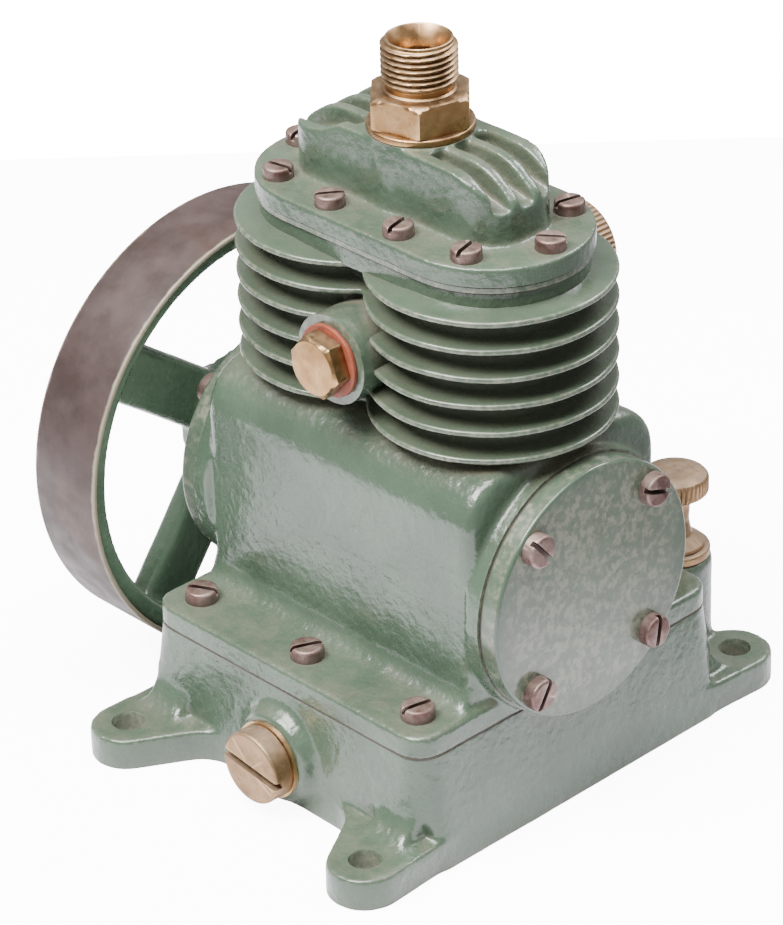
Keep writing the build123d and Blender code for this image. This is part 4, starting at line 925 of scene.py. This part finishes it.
# dipstick, plug, skirt and waist, then the knurled knob
profile = [(0, cap_low.z, 0), (DIPSTICK_R, cap_low.z, 0.5), (DIPSTICK_R, 21, 0), (4.1, 22, 0)]
profile += [(4.1, collar_top + 0.02, 0), (7.1, collar_top + 0.02, 0.3), (6.9, collar_top + 0.9, 0.6)]
profile += [(4.0, collar_top + 3.0, 1.2), (3.3, collar_top + 6.5, 4), (3.7, KNOB_LOW - 0.3, 1.0)]
profile += [(KNOB_R - 0.6, KNOB_LOW - 0.1, 0.3), (KNOB_R, KNOB_LOW + 0.5, 0), (KNOB_R, KNOB_LOW + 3.9, 0)]
profile += [(KNOB_R - 0.6, KNOB_LOW + 4.6, 0.6), (KNOB_R - 2.8, cap_high.z - 0.45, 3), (0, cap_high.z, 0)]
bm = bmesh.new()
lathe(bm, rounded(profile, 4), (NECK.x, NECK.y, 0), (0, 0, 1), KNURLS * 4, knurled, (1, 0, 0))
finish_piece(new_object("filler_cap_knurled", bm, dull_brass, 30), "filler_cap", "brass", "filler_cap")
collar = turned(
    "filler_collar_turned",
    [(4.3, 20, 0), (5.2, 20, 0), (5.2, NECK_TOP, 0),
     (8.25, NECK_TOP, 0.3), (8.3, collar_top, 0.7), (4.3, collar_top, 0)],
    (NECK.x, NECK.y, 0), (0, 0, 1), dull_brass,
)
finish_piece(collar, "frame", "brass", "filler_collar")

# ---------------------------------------------------------------- intake filter cap
FILTER_LOW, FILTER_HIGH = cad("intake_filter_cap")
FILTER = middle("intake_filter_cap")
FILTER_R = FILTER_HIGH.x - FILTER.x
FILTER_T = FILTER_HIGH.y - FILTER_LOW.y
FILTER_KNURLS = 60
AIR_HOLES, AIR_CIRCLE_R, AIR_HOLE_R = 8, 6.2, 1.3


def cap_knurls(radius, height, angle):
    """Straight knurling round the rim of the intake filter cap."""
    if radius < FILTER_R - 0.3:
        return radius
    return radius - 0.42 * min(1.0, 1.25 * abs((angle * FILTER_KNURLS / TAU) % 1 - 0.5) * 2)


profile = [(0, 0, 0), (FILTER_R - 0.5, 0, 0.3), (FILTER_R, 0.5, 0), (FILTER_R, FILTER_T - 1.0, 0)]
profile += [(FILTER_R - 0.6, FILTER_T - 0.4, 0.4), (FILTER_R - 2.2, FILTER_T, 0.8)]
profile += [(2.6, FILTER_T - 0.1, 1.0), (0, FILTER_T - 0.5, 0)]
bm = bmesh.new()
seat = (FILTER.x, FILTER_LOW.y, FILTER.z)
lathe(bm, rounded(profile, 4), seat, (0, 1, 0), FILTER_KNURLS * 4, cap_knurls, (1, 0, 0))
intake = new_object("intake_cap_knurled", bm)
holes = []
for x, z in arc((FILTER.x, FILTER.z), AIR_CIRCLE_R, 0, 360, AIR_HOLES)[:-1]:
    holes += cutter((rod, (x, FILTER_LOW.y - 2, z), (x, FILTER_HIGH.y + 2, z), AIR_HOLE_R))
carve(intake, holes, 30)
intake.data.materials.append(dull_brass)
finish_piece(intake, "frame", "brass", "intake_filter_cap")

# ---------------------------------------------------------------- shaft nut
NUT_LOW, NUT_HIGH = cad("shaft_nut")
NUT_APOTHEM = 8.5
nut_t = NUT_HIGH.x - NUT_LOW.x


def nut_shape(radius, height, angle):
    return hexagon(radius, NUT_APOTHEM, angle, 0) if radius > 8 else radius


half = [(5.05, 0.3), (5.5, 0), (8.6, 0), (9.3, 0.4), (9.82, 0.9)]
profile = half + [(radius, nut_t - height) for radius, height in half[::-1]]
bm = bmesh.new()
lathe(bm, profile, (NUT_HIGH.x, 0, SHAFT_Z), (-1, 0, 0), 120, nut_shape, (0, 1, 0))
finish_piece(new_object("shaft_nut_chamfered", bm, bright_steel, 28), "crank", "bright_steel", "shaft_nut")

# ---------------------------------------------------------------- CAD nodes that keep their shape
for entry in frame["record"]["subparts"]:
    node = frame["nodes"][entry["node"]]
    for place in node.material_slots:
        place.material = SLOT_MATERIALS[entry["material_slot"]]

# ---------------------------------------------------------------- floor, light and air
TABLE_HALF = 305.0
TABLE_T = 12.0


def glow_for_camera(tree, strength):
    """Strength that only the camera sees, so that the white sweep stays white without lighting the object."""
    path = tree.nodes.new("ShaderNodeLightPath")
    scale = tree.nodes.new("ShaderNodeMath")
    scale.operation = "MULTIPLY_ADD"
    tree.links.new(path.outputs["Is Camera Ray"], scale.inputs[0])
    scale.inputs[1].default_value = strength[1] - strength[0]
    scale.inputs[2].default_value = strength[0]
    return scale.outputs[0]


SHADE_WAY = (math.cos(math.radians(43) - CAMERA_AZ), math.sin(math.radians(43) - CAMERA_AZ))
g = Graph("floor_white")
floor_tint_and_painted_shade = g.mix(g.band(g.noise(180, 3), 0.3, 0.7), (0.90, 0.875, 0.92), (0.88, 0.86, 0.90))
along = [g.math("MULTIPLY", g.axis(name), share) for name, share in zip("XY", SHADE_WAY)]
away = g.math("ADD", *along)
# painted shade: from 88 to 150 mm out along SHADE_WAY (towards +x) and beyond, the floor's colour goes dark,
# so the object's reflections of it darken; camera rays see the floor glow white over it
floor_tint_and_painted_shade = g.mix(g.band(away, 88, 150, 0.0, 0.93), floor_tint_and_painted_shade, (0.05, 0.05, 0.055))
floor_white = g.surface(floor_tint_and_painted_shade, g.band(g.noise(60, 3), 0.3, 0.7, 0.55, 0.7))
g.put(g.shader.inputs["Emission Color"], (0.985, 0.955, 1.0, 1))
g.links.new(glow_for_camera(floor_white.node_tree, (0.35, 10.0)), g.shader.inputs["Emission Strength"])
bm = bmesh.new()
eased_prism(bm, round_rect(TABLE_HALF, TABLE_HALF, 6), -TABLE_T, 0, 0, 1.5)
table = new_object("floor", bm, floor_white)
table.rotation_euler.z = CAMERA_AZ

world = bpy.data.worlds.new("studio")
world.use_nodes = True
sky = world.node_tree.nodes["Background"]
sky.inputs["Color"].default_value = (1.0, 0.99, 0.985, 1)
world.node_tree.links.new(glow_for_camera(world.node_tree, (0.55, 18.0)), sky.inputs["Strength"])
bpy.context.scene.world = world


def soft_light(name, azimuth, elevation, distance, size, watts, colour):
    """Area light aimed at the object from a direction, azimuth counted like the camera's."""
    a, e = math.radians(azimuth), math.radians(elevation)
    direction = Vector((math.sin(a) * math.cos(e), -math.cos(a) * math.cos(e), math.sin(e)))
    data = bpy.data.lights.new(name, "AREA")
    data.shape = "RECTANGLE"
    data.size, data.size_y = size[0] * MM, size[1] * MM
    data.energy = watts
    data.color = colour
    obj = bpy.data.objects.new(name, data)
    aim = direction.to_track_quat("Z", "Y").to_matrix().to_4x4()
    obj.matrix_world = Matrix.Translation((direction * distance + Vector((0, 0, 70))) * MM) @ aim
    bpy.context.scene.collection.objects.link(obj)


soft_light("window", -10, 58, 1100, (650, 420), 34, (1.0, 0.99, 0.97))
soft_light("overhead", 60, 82, 1000, (500, 500), 16, (0.98, 0.99, 1.0))
soft_light("behind", 170, 45, 1100, (500, 300), 10, (0.97, 0.98, 1.0))
